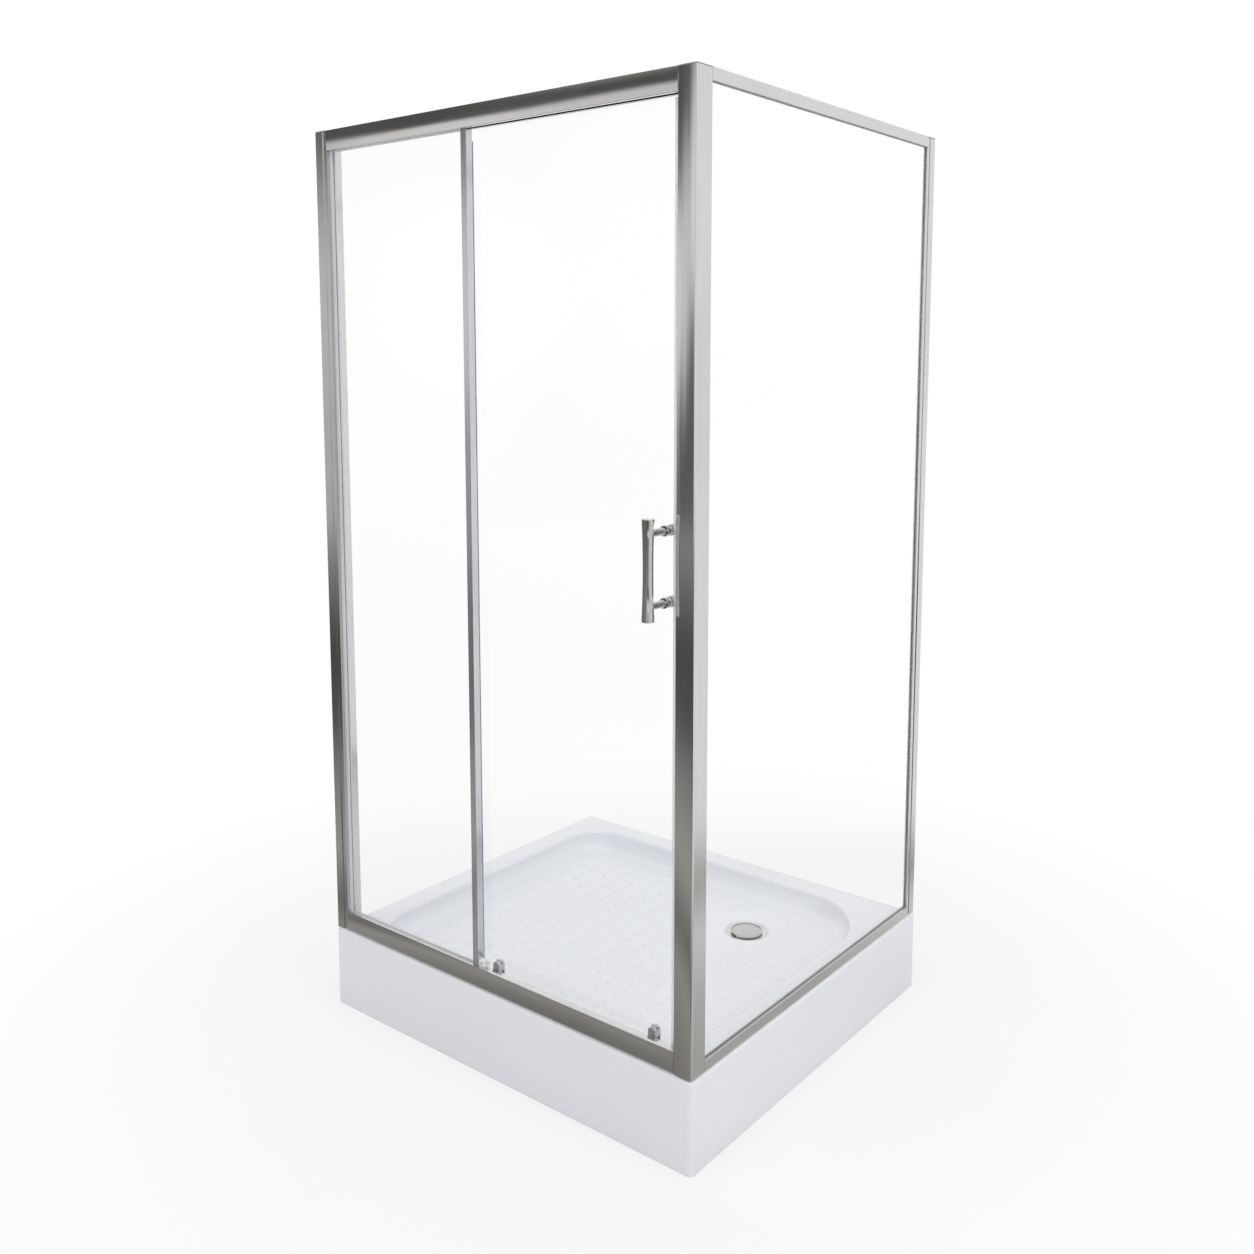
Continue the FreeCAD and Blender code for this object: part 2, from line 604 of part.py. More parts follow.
def top_rail():
    """Front top rail: glass slot in front, roller track with its ledge behind."""
    x = FRONT_RAIL_X
    rail = join([
        bowed_panel(x, (TOP_RAIL_LOW, TOP)),
        box(x, (PANEL_BACK, REAR), (TOP - METAL, TOP)),
        box(x, (PANEL_BACK, FRONT_SLOT_Y[0]), (TOP_RAIL_LOW, TOP_RAIL_LOW + METAL)),
        box(x, (FRONT_SLOT_Y[1], WEB_BACK), (TOP_RAIL_LOW, TOP - METAL)),
        box(x, (PANEL_BACK, FRONT_SLOT_Y[1]), (SLOT_CEILING, SLOT_CEILING + METAL)),
        box(x, (REAR - METAL, REAR), (LEDGE_TOP - LEDGE, TOP - METAL)),
        box(x, (LEDGE_FRONT, REAR - METAL), (LEDGE_TOP - LEDGE, LEDGE_TOP)),
    ])
    return rail.fuse(rail_boss(TOP_BOSS)).removeSplitter()


def threshold_rail():
    """Front bottom rail: glass slot in front, low trough and guide rib behind."""
    x = FRONT_RAIL_X
    rail = join([
        bowed_panel(x, (BASE, THRESHOLD_TOP)),
        box(x, (PANEL_BACK, REAR), (BASE, BASE + METAL)),
        box(x, (PANEL_BACK, FRONT_SLOT_Y[0]), (THRESHOLD_TOP - METAL, THRESHOLD_TOP)),
        box(x, (FRONT_SLOT_Y[1], WEB_BACK), (BASE + METAL, THRESHOLD_TOP - 2)),
        box(x, (PANEL_BACK, FRONT_SLOT_Y[1]), (SLOT_FLOOR, SLOT_FLOOR + METAL)),
        box(x, about(RIB_Y, RIB_WIDTH / 2), (BASE + METAL, RIB_TOP)),
        box(x, (REAR - METAL, REAR), (BASE + METAL, BASE + TROUGH_LIP)),
    ])
    return rail.fuse(rail_boss(THRESHOLD_BOSS)).removeSplitter()


def threshold_cover():
    """Snap-in strip that closes the glass slot across the doorway, sloping inwards."""
    x = EDGE_X[1] + 1
    front, back = FRONT_SLOT_Y
    low = THRESHOLD_TOP - 9
    outline = [V(x, front, low), V(x, back, low), V(x, back, THRESHOLD_TOP - 2)]
    outline += [V(x, front, THRESHOLD_TOP), outline[0]]
    return Part.Face(Part.makePolygon(outline)).extrude(V(POST_LEFT - x, 0, 0))


def post_outside(z):
    """The post's outline between two heights: a crowned front and rounded corners."""
    middle = (POST_LEFT + RIGHT) / 2
    low, high = (V(middle, FRONT + POST_CROWN_RADIUS, end) for end in z)
    outside = box((POST_LEFT, RIGHT), (FRONT, REAR), z).common(rod(POST_CROWN_RADIUS, low, high))
    outside = round_uprights(outside, POST_NOSE_RADIUS, [(RIGHT, FRONT + POST_BOW)])
    return round_uprights(outside, 1.2, [(RIGHT, REAR), (POST_LEFT, FRONT + POST_BOW)])


def corner_post():
    """Hollow post at the open corner, with a slot for the side pane."""
    height = (BASE - 1, TOP)
    slot_floor = REAR - SIDE_SLOT_DEPTH
    cavity_y = (FRONT + POST_BOW + METAL, REAR - METAL)
    cavity = box(inward((POST_LEFT, RIGHT), METAL), cavity_y, height)
    cavity = cavity.cut(box(inward(SIDE_SLOT_X, -METAL), (slot_floor - METAL, REAR), height))
    post = post_outside(FULL_HEIGHT).cut([cavity, box(SIDE_SLOT_X, (slot_floor, REAR + 1), height)])
    for y, z in (THRESHOLD_BOSS, TOP_BOSS):
        hole = rod(RAIL_SCREW_RADIUS + EASE, V(POST_LEFT - 1, y, z), V(POST_LEFT + 4, y, z))
        post = post.cut(hole)
    return post


def side_rail(z, mouth, shut):
    """Slim rail of the side pane: a box channel whose lipped mouth grips the glass."""
    inner = inward((SIDE_INNER, RIGHT), SIDE_METAL)
    sides = [box(x, SIDE_RAIL_Y, z) for x in walls((SIDE_INNER, RIGHT), SIDE_METAL)]
    return join(sides + [
        box(inner, SIDE_RAIL_Y, shut),
        box((inner[0], SIDE_SLOT_X[0]), SIDE_RAIL_Y, mouth),
        box((SIDE_SLOT_X[1], inner[1]), SIDE_RAIL_Y, mouth),
    ])


def side_top_rail():
    """The side pane's top rail, its mouth downwards."""
    z = (TOP - SIDE_RAIL_HEIGHT, TOP)
    mouth, shut = walls(z, METAL)
    return side_rail(z, mouth, shut)


def side_bottom_rail():
    """The side pane's bottom rail, its mouth upwards."""
    z = (BASE, BASE + SIDE_RAIL_HEIGHT)
    shut, mouth = walls(z, METAL)
    return side_rail(z, mouth, shut)


def frame_caps():
    """Flat plastic caps on the corner post and on the two wall uprights."""
    z = (TOP - CAP, TOP)
    return (
        post_outside(z),
        box((LEFT_WALL, JAMB_RIM), (FRONT, REAR), z),
        box((SIDE_INNER, RIGHT), (SIDE_JAMB_RIM, BACK_WALL), z),
    )


# ---- fixed glass ----
def fixed_glass():
    """Tempered pane beside the doorway."""
    return box(FIXED_GLASS_X, about(FIXED_PLANE, GLASS / 2), FIXED_GLASS_Z)


def side_glass():
    """Tempered pane of the side."""
    reach = SIDE_SLOT_DEPTH - 1
    y = (REAR - reach, SIDE_JAMB_RIM + reach)
    return box(about(SIDE_PLANE, GLASS / 2), y, SIDE_GLASS_Z)


def fixed_edge_profile():
    """Upright on the fixed pane's free edge, with a lip that meets the door's seal."""
    flanges = [box(EDGE_X, y, BETWEEN_RAILS) for y in walls(EDGE_Y, EDGE_METAL)]
    lip_y = (EDGE_Y[0], DOOR_FRONT - 1.8)
    return join(flanges + [box((EDGE_X[1] - EDGE_METAL, EDGE_X[1]), lip_y, BETWEEN_RAILS)])


def front_gaskets():
    """Rubber wedges on both faces of the fixed pane, along all four of its edges."""
    rim = JAMB_RIM + JAMB_GASKET_PROUD
    run = (rim + EASE, EDGE_X[0])
    strips = []
    for y in walls(FRONT_SLOT_Y, (SLOT - GLASS) / 2):
        strips.append(box((JAMB_RIM - GASKET_DEPTH, rim), y, BETWEEN_RAILS))
        strips.append(box(run, y, (TOP_RAIL_LOW - GASKET_PROUD, TOP_RAIL_LOW + GASKET_DEPTH)))
        strips.append(box(run, y, (THRESHOLD_TOP - GASKET_DEPTH, THRESHOLD_TOP + GASKET_PROUD)))
    inside = inward(EDGE_Y, EDGE_METAL)
    for y in walls(inside, (inside[1] - inside[0] - GLASS) / 2):
        strips.append(box((EDGE_X[0], FIXED_GLASS_X[1]), y, BETWEEN_RAILS))
    return strips


def side_gaskets():
    """Rubber wedges on both faces of the side pane, along all four of its edges."""
    front, back = REAR + GASKET_PROUD, SIDE_JAMB_RIM - GASKET_PROUD
    low, high = BASE + SIDE_RAIL_HEIGHT, TOP - SIDE_RAIL_HEIGHT
    run = (front + EASE, back - EASE)
    strips = []
    for x in walls(SIDE_SLOT_X, (SIDE_SLOT - GLASS) / 2):
        strips.append(box(x, (REAR - GASKET_DEPTH, front), (low, high)))
        strips.append(box(x, (back, SIDE_JAMB_RIM + GASKET_DEPTH), (low, high)))
        strips.append(box(x, run, (high - GASKET_PROUD, high + GASKET_DEPTH)))
        strips.append(box(x, run, (low - GASKET_DEPTH, low + GASKET_PROUD)))
    return strips


def setting_blocks():
    """Hard rubber pads that carry the weight of the two fixed panes."""
    front_z = (SLOT_FLOOR + METAL, FIXED_GLASS_Z[0])
    side_z = (BASE + METAL, SIDE_GLASS_Z[0])
    front = [box(about(x, 20.0), inward(FRONT_SLOT_Y, 1), front_z) for x in (-380.0, -150.0)]
    side = [box(inward(SIDE_SLOT_X, 1), about(y, 20.0), side_z) for y in (-250.0, 250.0)]
    return front + side


# ---- small parts of the fixed frame ----
def door_guide_foot():
    """White block on the threshold that keeps the door's pane in line."""
    block = box(FOOT_X, FOOT_Y, (THRESHOLD_TOP, FOOT_TOP))
    nose = box(FOOT_X, (FOOT_Y[1], DOOR_FRONT - 0.7), FOOT_NOSE_Z)
    foot = join([block, nose])
    foot = round_uprights(foot, FOOT_CORNER_RADIUS, [(FOOT_X[1], FOOT_Y[0])])
    return foot.cut(rod(FOOT_SCREW_RADIUS + EASE, FOOT_SCREW - V(0, 1, 0), FOOT_SCREW + V(0, 6, 0)))


def foot_screw():
    """Screw of the white block: a sunk head with a slot."""
    head = rod(FOOT_SCREW_RADIUS, FOOT_SCREW + V(0, 0.6, 0), FOOT_SCREW + V(0, 5.5, 0))
    slot_z = about(FOOT_SCREW.z, 1.6)
    return head.cut(box(about(FOOT_SCREW.x, 0.4), (FOOT_SCREW.y, FOOT_SCREW.y + 1.6), slot_z))


def rail_screws():
    """Self-tapping screws that pull the front rails to the left jamb and the post."""
    left = (JAMB_RIM - METAL, 1)
    right = (POST_LEFT + METAL, -1)
    screws = []
    for y, z in (THRESHOLD_BOSS, TOP_BOSS):
        for seat, way in (left, right):
            head_start = V(seat - way * RAIL_SCREW_HEAD, y, z)
            head = rod(RAIL_SCREW_HEAD_RADIUS, head_start, V(seat, y, z))
            shank = rod(RAIL_SCREW_RADIUS, V(seat, y, z), V(seat + way * RAIL_SCREW_BITE, y, z))
            screws.append(head.fuse(shank))
    return screws


def jamb_screws():
    """Screws that lock both jambs in their wall channels, seen from inside."""
    sizes = (JAMB_SCREW_HEAD_RADIUS, JAMB_SCREW_RADIUS, 2 * METAL + 2)
    side_y = BACK_WALL - JAMB_SCREW_REACH
    screws = []
    for z in JAMB_SCREW_HEIGHTS:
        screws.append(pan_screw(V(LEFT_WALL + JAMB_SCREW_REACH, REAR, z), V(0, 1, 0), *sizes))
        screws.append(pan_screw(V(SIDE_INNER, side_y, z), V(-1, 0, 0), *sizes))
    return screws


def post_magnet():
    """Magnetic strip on the corner post that the door closes against."""
    return box((POST_LEFT - 2, POST_LEFT), about(DOOR_PLANE, 4.0), inward(BETWEEN_RAILS, 2))


def track_stops():
    """Rubber blocks in the top rail where the rollers end their travel."""
    y = (LEDGE_FRONT + 0.2, REAR - METAL)
    z = (LEDGE_TOP, LEDGE_TOP + STOP_HEIGHT)
    reach = TREAD_RADIUS + 0.5
    open_end = ROLLER_X[0] - DOOR_TRAVEL - reach
    shut_end = ROLLER_X[1] + reach
    return [box((start, start + STOP_LENGTH), y, z) for start in (open_end - STOP_LENGTH, shut_end)]


# ---- door ----
def door_glass():
    """Tempered pane of the door, drilled for rollers, guides and handle."""
    pane = box(DOOR_X, (DOOR_FRONT, DOOR_BACK), DOOR_Z)
    holes = [(x, TOP_AXLE_Z, TOP_BUSH_RADIUS) for x in ROLLER_X]
    holes += [(x, GUIDE_SCREW_Z, GUIDE_BUSH_RADIUS) for x in ROLLER_X]
    holes += [(HANDLE_X, z, SLEEVE_RADIUS) for z in HANDLE_HEIGHTS]
    for x, z, radius in holes:
        pane = pane.cut(rod(radius + EASE, V(x, DOOR_FRONT - 1, z), V(x, DOOR_BACK + 1, z)))
    return pane


def door_rear_profile():
    """Upright on the door's rear edge, with a lip that carries the seal."""
    x = REAR_PROFILE_X
    return join([
        box(x, (DOOR_FRONT - EDGE_METAL, DOOR_FRONT), REAR_PROFILE_Z),
        box(x, (DOOR_BACK, DOOR_BACK + EDGE_METAL), REAR_PROFILE_Z),
        box((x[0], x[0] + EDGE_METAL), (DOOR_FRONT, DOOR_BACK), REAR_PROFILE_Z),
        box(SEAL_LIP_X, SEAL_LIP_Y, REAR_PROFILE_Z),
    ])


def door_rear_seal():
    """Soft seal on that lip, which meets the fixed upright when the door is shut."""
    x = (SEAL_LIP_X[1], REAR_SEAL_END)
    return box(x, (SEAL_LIP_Y[0], SEAL_LIP_Y[1] - EASE), REAR_PROFILE_Z)


def door_front_seal():
    """Clear seal on the door's closing edge, with a pocket for its magnet."""
    x = FRONT_SEAL_X
    body = box(x, (DOOR_FRONT - SEAL, DOOR_BACK + SEAL), FRONT_SEAL_Z)
    pane = box((x[0] - 1, DOOR_X[1]), (DOOR_FRONT, DOOR_BACK), (0, TOP))
    pocket = box((x[1] - MAGNET_WIDTH, x[1] + 1), (DOOR_FRONT, DOOR_BACK), (0, TOP))
    return body.cut([pane, pocket])


def door_magnet():
    """Magnetic bar in the closing seal."""
    x = (FRONT_SEAL_X[1] - MAGNET_WIDTH, FRONT_SEAL_X[1])
    return box(x, (DOOR_FRONT, DOOR_BACK), FRONT_SEAL_Z)


def door_bottom_seal():
    """Clear drip seal under the door, pressed onto the pane's lower edge."""
    x = inward(DOOR_X, 2)
    body = box(x, (DOOR_FRONT - SEAL, DOOR_BACK + SEAL), (DOOR_Z[0] - 5, DOOR_Z[0] + 2.5))
    return body.cut(box(inward(x, -1), (DOOR_FRONT, DOOR_BACK), (DOOR_Z[0], TOP)))


def pane_bushes():
    """Plastic bushes in the holes drilled for the rollers and the guides."""
    sizes = (
        (TOP_AXLE_Z, TOP_BUSH_RADIUS, AXLE_RADIUS),
        (GUIDE_SCREW_Z, GUIDE_BUSH_RADIUS, GUIDE_SCREW_RADIUS),
    )
    return [
        ring(outer, inner + EASE, V(x, DOOR_FRONT, z), V(x, DOOR_BACK, z))
        for x in ROLLER_X
        for z, outer, inner in sizes
    ]


# ---- top rollers ----
def turned(centre, *spans):
    """Round pieces on one axis along Y, each given as (radius, start, end)."""
    x, z = centre
    pieces = [rod(radius, V(x, start, z), V(x, end, z)) for radius, start, end in spans]
    return join(pieces) if len(pieces) > 1 else pieces[0]


def top_axles():
    """Shouldered roller bolts through the top of the door's pane."""
    wheel_start, wheel_end = TOP_WHEEL_Y
    spans = (
        (AXLE_HEAD_RADIUS, DOOR_FRONT - AXLE_HEAD, DOOR_FRONT),
        (AXLE_RADIUS, DOOR_FRONT, wheel_end + AXLE_NUT),
        (AXLE_NUT_RADIUS, DOOR_BACK, wheel_start - 0.2),
        (AXLE_NUT_RADIUS, wheel_end + 0.2, wheel_end + AXLE_NUT),
    )
    return [turned((x, TOP_AXLE_Z), *spans) for x in ROLLER_X]


def top_wheel(x):
    """Nylon track wheel with a flange that hooks the ledge's edge."""
    centre = (x, TOP_AXLE_Z)
    start, end = TOP_WHEEL_Y
    wheel = turned(centre, (FLANGE_RADIUS, start, TREAD_Y), (TREAD_RADIUS, TREAD_Y, end))
    return wheel.cut(turned(centre, (BEARING_RADIUS + 0.02, start - 1, end + 1)))


def top_bearing(x):
    """Steel ball bearing pressed into the wheel, with its two race grooves."""
    centre = (x, TOP_AXLE_Z)
    start, end = inward(TOP_WHEEL_Y, BEARING_INSET)
    inner, outer, deep = RACE_GROOVE
    body = turned(centre, (BEARING_RADIUS, start, end))
    body = body.cut(turned(centre, (AXLE_RADIUS + RUNNING_FIT, start - 1, end + 1)))
    for span in ((start - 1, start + deep), (end - deep, end + 1)):
        body = body.cut(turned(centre, (outer, *span)).cut(turned(centre, (inner, *span))))
    return body


# ---- bottom guides ----
def guide_housing(x):
    """Guide body on the pane's inner face: arched top, slot for the release tongue."""
    shoulder = GUIDE_Z[1] - GUIDE_HALF
    wide = about(x, GUIDE_HALF + 1)
    roof = POCKET_TOP + POCKET_ROOF
    block = box(about(x, GUIDE_HALF), GUIDE_Y, (GUIDE_Z[0], shoulder))
    arch = turned((x, shoulder), (GUIDE_HALF, *GUIDE_Y))
    screw_hole = (GUIDE_SCREW_RADIUS + EASE, GUIDE_Y[0] - 1, POCKET_Y[0] + 1)
    openings = [
        box(about(x, POCKET_HALF), POCKET_Y, (GUIDE_Z[0] - 1, POCKET_TOP)),
        box(wide, POCKET_Y, (GUIDE_Z[0] - 1, WINDOW_TOP)),
        box(wide, about(RIB_Y, TONGUE_THICKNESS_HALF + 0.4), (roof, TOP)),
        rod(STEM_HALF + 0.3, V(x, RIB_Y, POCKET_TOP - 1), V(x, RIB_Y, roof + 1)),
        turned((x, GUIDE_SCREW_Z), screw_hole),
    ]
    return block.fuse(arch).cut(openings).removeSplitter()


def guide_slider(x):
    """Slider in the guide: fork and pin for the wheel, stem, and tongue to lift it by."""
    y = inward(POCKET_Y, SLIDER_GAP)
    head_low, head_top = SLIDER_HEAD_Z
    tongue_low = POCKET_TOP + POCKET_ROOF + 1.3
    fork = box(about(x, FORK_HALF), y, FORK_Z)
    head = box(about(x, POCKET_HALF - 0.3), y, SLIDER_HEAD_Z)
    wheel_room = box(about(x, FORK_HALF + 1), about(RIB_Y, GUIDE_WHEEL_HALF + 0.3), (0, head_low))
    stem = rod(STEM_HALF, V(x, RIB_Y, head_top), V(x, RIB_Y, tongue_low))
    tongue_z = (tongue_low, GUIDE_Z[1] + TONGUE_PROUD)
    tongue = box(about(x, TONGUE_HALF), about(RIB_Y, TONGUE_THICKNESS_HALF), tongue_z)
    shoulders = [e for e in tongue.Edges if is_tongue_shoulder(e)]
    pin = turned((x, GUIDE_AXLE_Z), (PIN_RADIUS, *y))
    return join([fork.fuse(head).cut(wheel_room), stem, tongue.makeFillet(3.0, shoulders), pin])


def is_tongue_shoulder(edge):
    """Whether an edge is one of the tongue's two upper edges along Y."""
    bounds = edge.BoundBox
    return bounds.ZMin > GUIDE_Z[1] + 2 and bounds.XMax - bounds.XMin < 1e-6


def guide_wheel(x):
    """Grooved nylon wheel that straddles the threshold's rib."""
    centre = (x, GUIDE_AXLE_Z)
    outer, groove = about(RIB_Y, GUIDE_WHEEL_HALF), about(RIB_Y, GUIDE_GROOVE_HALF)
    wheel = turned(
        centre,
        (GUIDE_FLANGE_RADIUS, outer[0], groove[0]),
        (GUIDE_TREAD_RADIUS, groove[0], groove[1]),
        (GUIDE_FLANGE_RADIUS, groove[1], outer[1]),
    )
    return wheel.cut(turned(centre, (PIN_RADIUS + RUNNING_FIT, outer[0] - 1, outer[1] + 1)))


def guide_spring(x):
    """Coil spring that holds the slider down."""
    low, high = inward((SLIDER_HEAD_Z[1], POCKET_TOP), SPRING_WIRE_RADIUS)
    path = Part.Wire(Part.makeHelix((high - low) / SPRING_TURNS, high - low, SPRING_RADIUS).Edges)
    section = Part.Wire(Part.makeCircle(SPRING_WIRE_RADIUS, V(SPRING_RADIUS, 0, 0), V(0, 1, 0)))
    spring = path.makePipeShell([section], True, True)
    spring.translate(V(x, RIB_Y, low))
    return spring


def guide_screws():
    """Screws that hold the guides to the pane, heads on its outer face."""
    sizes = (GUIDE_SCREW_HEAD_RADIUS, GUIDE_SCREW_RADIUS, GLASS + 2.8)
    return [pan_screw(V(x, DOOR_FRONT, GUIDE_SCREW_Z), V(0, -1, 0), *sizes) for x in ROLLER_X]


# ---- handle ----
def on_handle(z, *spans):
    """A turned piece on the handle's cross axis at height z, bored for its stud."""
    bore = (STUD_RADIUS + EASE, HANDLE_Y, DOOR_BACK + KNOB_LENGTH - 2)
    return turned((HANDLE_X, z), *spans).cut(turned((HANDLE_X, z), bore))


def handle_bar():
    """Upright grip, slimmer at its middle, with sockets for standoffs and studs."""
    half = HANDLE_LENGTH / 2
    low, high = V(BAR_END_RADIUS, 0, -half), V(BAR_END_RADIUS, 0, half)
    side = Part.Arc(low, V(BAR_WAIST_RADIUS, 0, 0), high).toShape()
    rest = Part.makePolygon([high, V(0, 0, half), V(0, 0, -half), low])
    bar = Part.Face(Part.Wire([side] + rest.Edges)).revolve(V(0, 0, 0), V(0, 0, 1), 360)
    rims = [e for e in bar.Edges if abs(abs(e.CenterOfMass.z) - half) < 1e-6]
    bar = bar.makeFillet(1.2, [e for e in rims if e.Length > 4 * BAR_END_RADIUS])
    bar.translate(V(HANDLE_X, HANDLE_Y, HANDLE_Z))
    for z in HANDLE_HEIGHTS:
        socket = turned((HANDLE_X, z), (STANDOFF_RADIUS + EASE, STANDOFF_START, COLLAR_START))
        bar = bar.cut([socket, turned((HANDLE_X, z), (STUD_RADIUS + EASE, HANDLE_Y, COLLAR_START))])
    return bar


def handle_standoffs():
    """Round stems between the grip and the collars."""
    return [on_handle(z, (STANDOFF_RADIUS, STANDOFF_START, COLLAR_START)) for z in HANDLE_HEIGHTS]


def handle_collars():
    """Grooved collars against the pane's outer face."""
    groove = (COLLAR_START + COLLAR_GROOVE[0], COLLAR_START + COLLAR_GROOVE[1])
    spans = (
        (COLLAR_RADIUS, COLLAR_START, groove[0]),
        (STANDOFF_RADIUS, groove[0], groove[1]),
        (COLLAR_RADIUS, groove[1], DOOR_FRONT - WASHER),
    )
    return [on_handle(z, *spans) for z in HANDLE_HEIGHTS]


def handle_washers():
    """Clear washers on both faces of the pane, with the sleeve between them."""
    spans = (
        (WASHER_RADIUS, DOOR_FRONT - WASHER, DOOR_FRONT),
        (SLEEVE_RADIUS, DOOR_FRONT, DOOR_BACK),
        (WASHER_RADIUS, DOOR_BACK, DOOR_BACK + WASHER),
    )
    return [on_handle(z, *spans) for z in HANDLE_HEIGHTS]


def handle_knobs():
    """Inner knobs that clamp the pane, rounded at their free ends."""
    start = DOOR_BACK + WASHER
    end = start + KNOB_LENGTH
    groove = (start + KNOB_GROOVE[0], start + KNOB_GROOVE[1])
    knobs = []
    for z in HANDLE_HEIGHTS:
        flange = on_handle(z, (KNOB_RADIUS, start, groove[0]), (KNOB_GROOVE_RADIUS, *groove))
        grip = turned((HANDLE_X, z), (KNOB_RADIUS, groove[1], end))
        grip = grip.makeFillet(1.5, [e for e in grip.Edges if abs(e.CenterOfMass.y - end) < 1e-6])
        knobs.append(join([flange, grip]).cut(handle_stud(z, EASE)))
    return knobs


def handle_stud(z, grow=0.0):
    """Threaded stud from the grip through the pane into a knob, or room for it."""
    end = DOOR_BACK + KNOB_LENGTH - 3
    return turned((HANDLE_X, z), (STUD_RADIUS + grow, HANDLE_Y, end + grow))


# ---- write every node ----
os.makedirs("parts", exist_ok=True)

save("shower_tray", shower_tray())
save("support_board", support_board())
save("frame_long_bars", *frame_long_bars())
save("frame_cross_bars", *frame_cross_bars())
save("leg_studs", *leg_studs())
save("leg_pads", *leg_pads())
save("leg_nuts", *leg_nuts())
save("drain_flange", drain_flange())
save("drain_gasket", drain_gasket())
save("drain_trap", drain_trap())
save("drain_cover", drain_cover())

save("wall_channel_left", wall_channel_left())
save("wall_channel_back", wall_channel_back())
save("jamb_left", jamb_left())
save("jamb_back", jamb_back())
save("corner_post", corner_post())
save("top_rail", top_rail())
save("threshold_rail", threshold_rail())
save("threshold_cover", threshold_cover())
save("side_top_rail", side_top_rail())
save("side_bottom_rail", side_bottom_rail())
save("frame_caps", *frame_caps())

save("fixed_glass", fixed_glass())
save("side_glass", side_glass())
save("front_gaskets", *front_gaskets())
save("side_gaskets", *side_gaskets())
save("setting_blocks", *setting_blocks())
save("fixed_edge_profile", fixed_edge_profile())
save("door_guide_foot", door_guide_foot())
save("post_magnet", post_magnet())
save("track_stops", *track_stops())
save("frame_screws", *rail_screws(), *jamb_screws(), foot_screw())

save("door_glass", door_glass())
save("door_rear_profile", door_rear_profile())
save("door_rear_seal", door_rear_seal())
save("door_front_seal", door_front_seal())
save("door_magnet", door_magnet())
save("door_bottom_seal", door_bottom_seal())
save("pane_bushes", *pane_bushes())
save("top_axles", *top_axles())
save("guide_screws", *guide_screws())
save("handle_bar", handle_bar())
save("handle_standoffs", *handle_standoffs())
save("handle_collars", *handle_collars())
save("handle_washers", *handle_washers())
save("handle_knobs", *handle_knobs())
save("handle_studs", *[handle_stud(z) for z in HANDLE_HEIGHTS])

for side, place in zip(("left", "right"), ROLLER_X):
    save("top_wheel_" + side, top_wheel(place))
    save("top_bearing_" + side, top_bearing(place))
    save("guide_housing_" + side, guide_housing(place))
    save("guide_slider_" + side, guide_slider(place))
    save("guide_wheel_" + side, guide_wheel(place))
    save("guide_spring_" + side, guide_spring(place))
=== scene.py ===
import math

import bmesh
import bpy
from mathutils import Matrix, Vector


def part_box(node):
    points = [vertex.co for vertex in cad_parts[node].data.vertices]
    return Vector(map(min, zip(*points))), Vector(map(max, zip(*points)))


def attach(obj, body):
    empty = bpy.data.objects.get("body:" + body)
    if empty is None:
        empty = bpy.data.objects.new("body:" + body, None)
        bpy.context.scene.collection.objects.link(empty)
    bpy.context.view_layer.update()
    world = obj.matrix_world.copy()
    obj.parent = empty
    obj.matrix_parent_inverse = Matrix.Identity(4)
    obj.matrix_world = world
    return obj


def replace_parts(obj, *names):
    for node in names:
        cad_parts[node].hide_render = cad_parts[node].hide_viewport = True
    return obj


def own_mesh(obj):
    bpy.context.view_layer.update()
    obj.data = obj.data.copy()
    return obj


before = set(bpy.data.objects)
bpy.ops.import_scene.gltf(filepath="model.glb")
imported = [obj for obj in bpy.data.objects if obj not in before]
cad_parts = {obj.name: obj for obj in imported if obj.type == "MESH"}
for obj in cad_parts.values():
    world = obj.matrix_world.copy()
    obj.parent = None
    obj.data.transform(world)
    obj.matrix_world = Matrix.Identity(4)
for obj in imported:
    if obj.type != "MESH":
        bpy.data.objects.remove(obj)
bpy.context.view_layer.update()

# ---- camera ----
# Stands outside the open corner, higher than the handle, and looks along the photograph's
# sight line. A small shift keeps the uprights nearly parallel, as they are there.
# The picture's side, the focal length and the row of the sight line are in pixels.
PHOTO_SIDE = 1254
FOCAL_LENGTH = 1233.0
SIGHT_ROW = 510
SENSOR_WIDTH = 36.0
CAMERA_PLACE = (1.702, -2.136, 1.464)
CAMERA_TURN = math.radians(38.68)
CAMERA_TILT = math.radians(-6.82)

camera_data = bpy.data.cameras.new("camera")
camera_data.sensor_width = SENSOR_WIDTH
camera_data.lens = SENSOR_WIDTH * FOCAL_LENGTH / PHOTO_SIDE
camera_data.shift_y = (SIGHT_ROW - PHOTO_SIDE / 2) / PHOTO_SIDE
camera = bpy.data.objects.new("camera", camera_data)
camera.location = CAMERA_PLACE
camera.rotation_euler = (math.pi / 2 + CAMERA_TILT, 0, CAMERA_TURN)
bpy.context.scene.collection.objects.link(camera)
bpy.context.scene.camera = camera
bpy.context.scene.view_settings.view_transform = "Standard"


# ---- studio ----
# A white cyclorama: plain even light from the room, one large soft box overhead and weaker ones
# at the front, at the right and behind. Metal sees a bright room with a dark drape at the front
# left, where a few bright patches break it up.
WHITE = (1.0, 1.0, 1.0, 1.0)
ROOM_LIGHT = 0.6
ROOM_BRIGHT = 0.95
ROOM_UNEVEN = 0.35
ROOM_CLOUD_SCALE = 2.3
# What metal reflects, from black to white: the dark parts of the room are a little warm.
ROOM_TONES = (
    (0.0, (0.0, 0.0, 0.0)),
    (0.14, (0.146, 0.139, 0.132)),
    (0.45, (0.46, 0.447, 0.432)),
    (1.0, (1.0, 0.998, 1.0)),
)
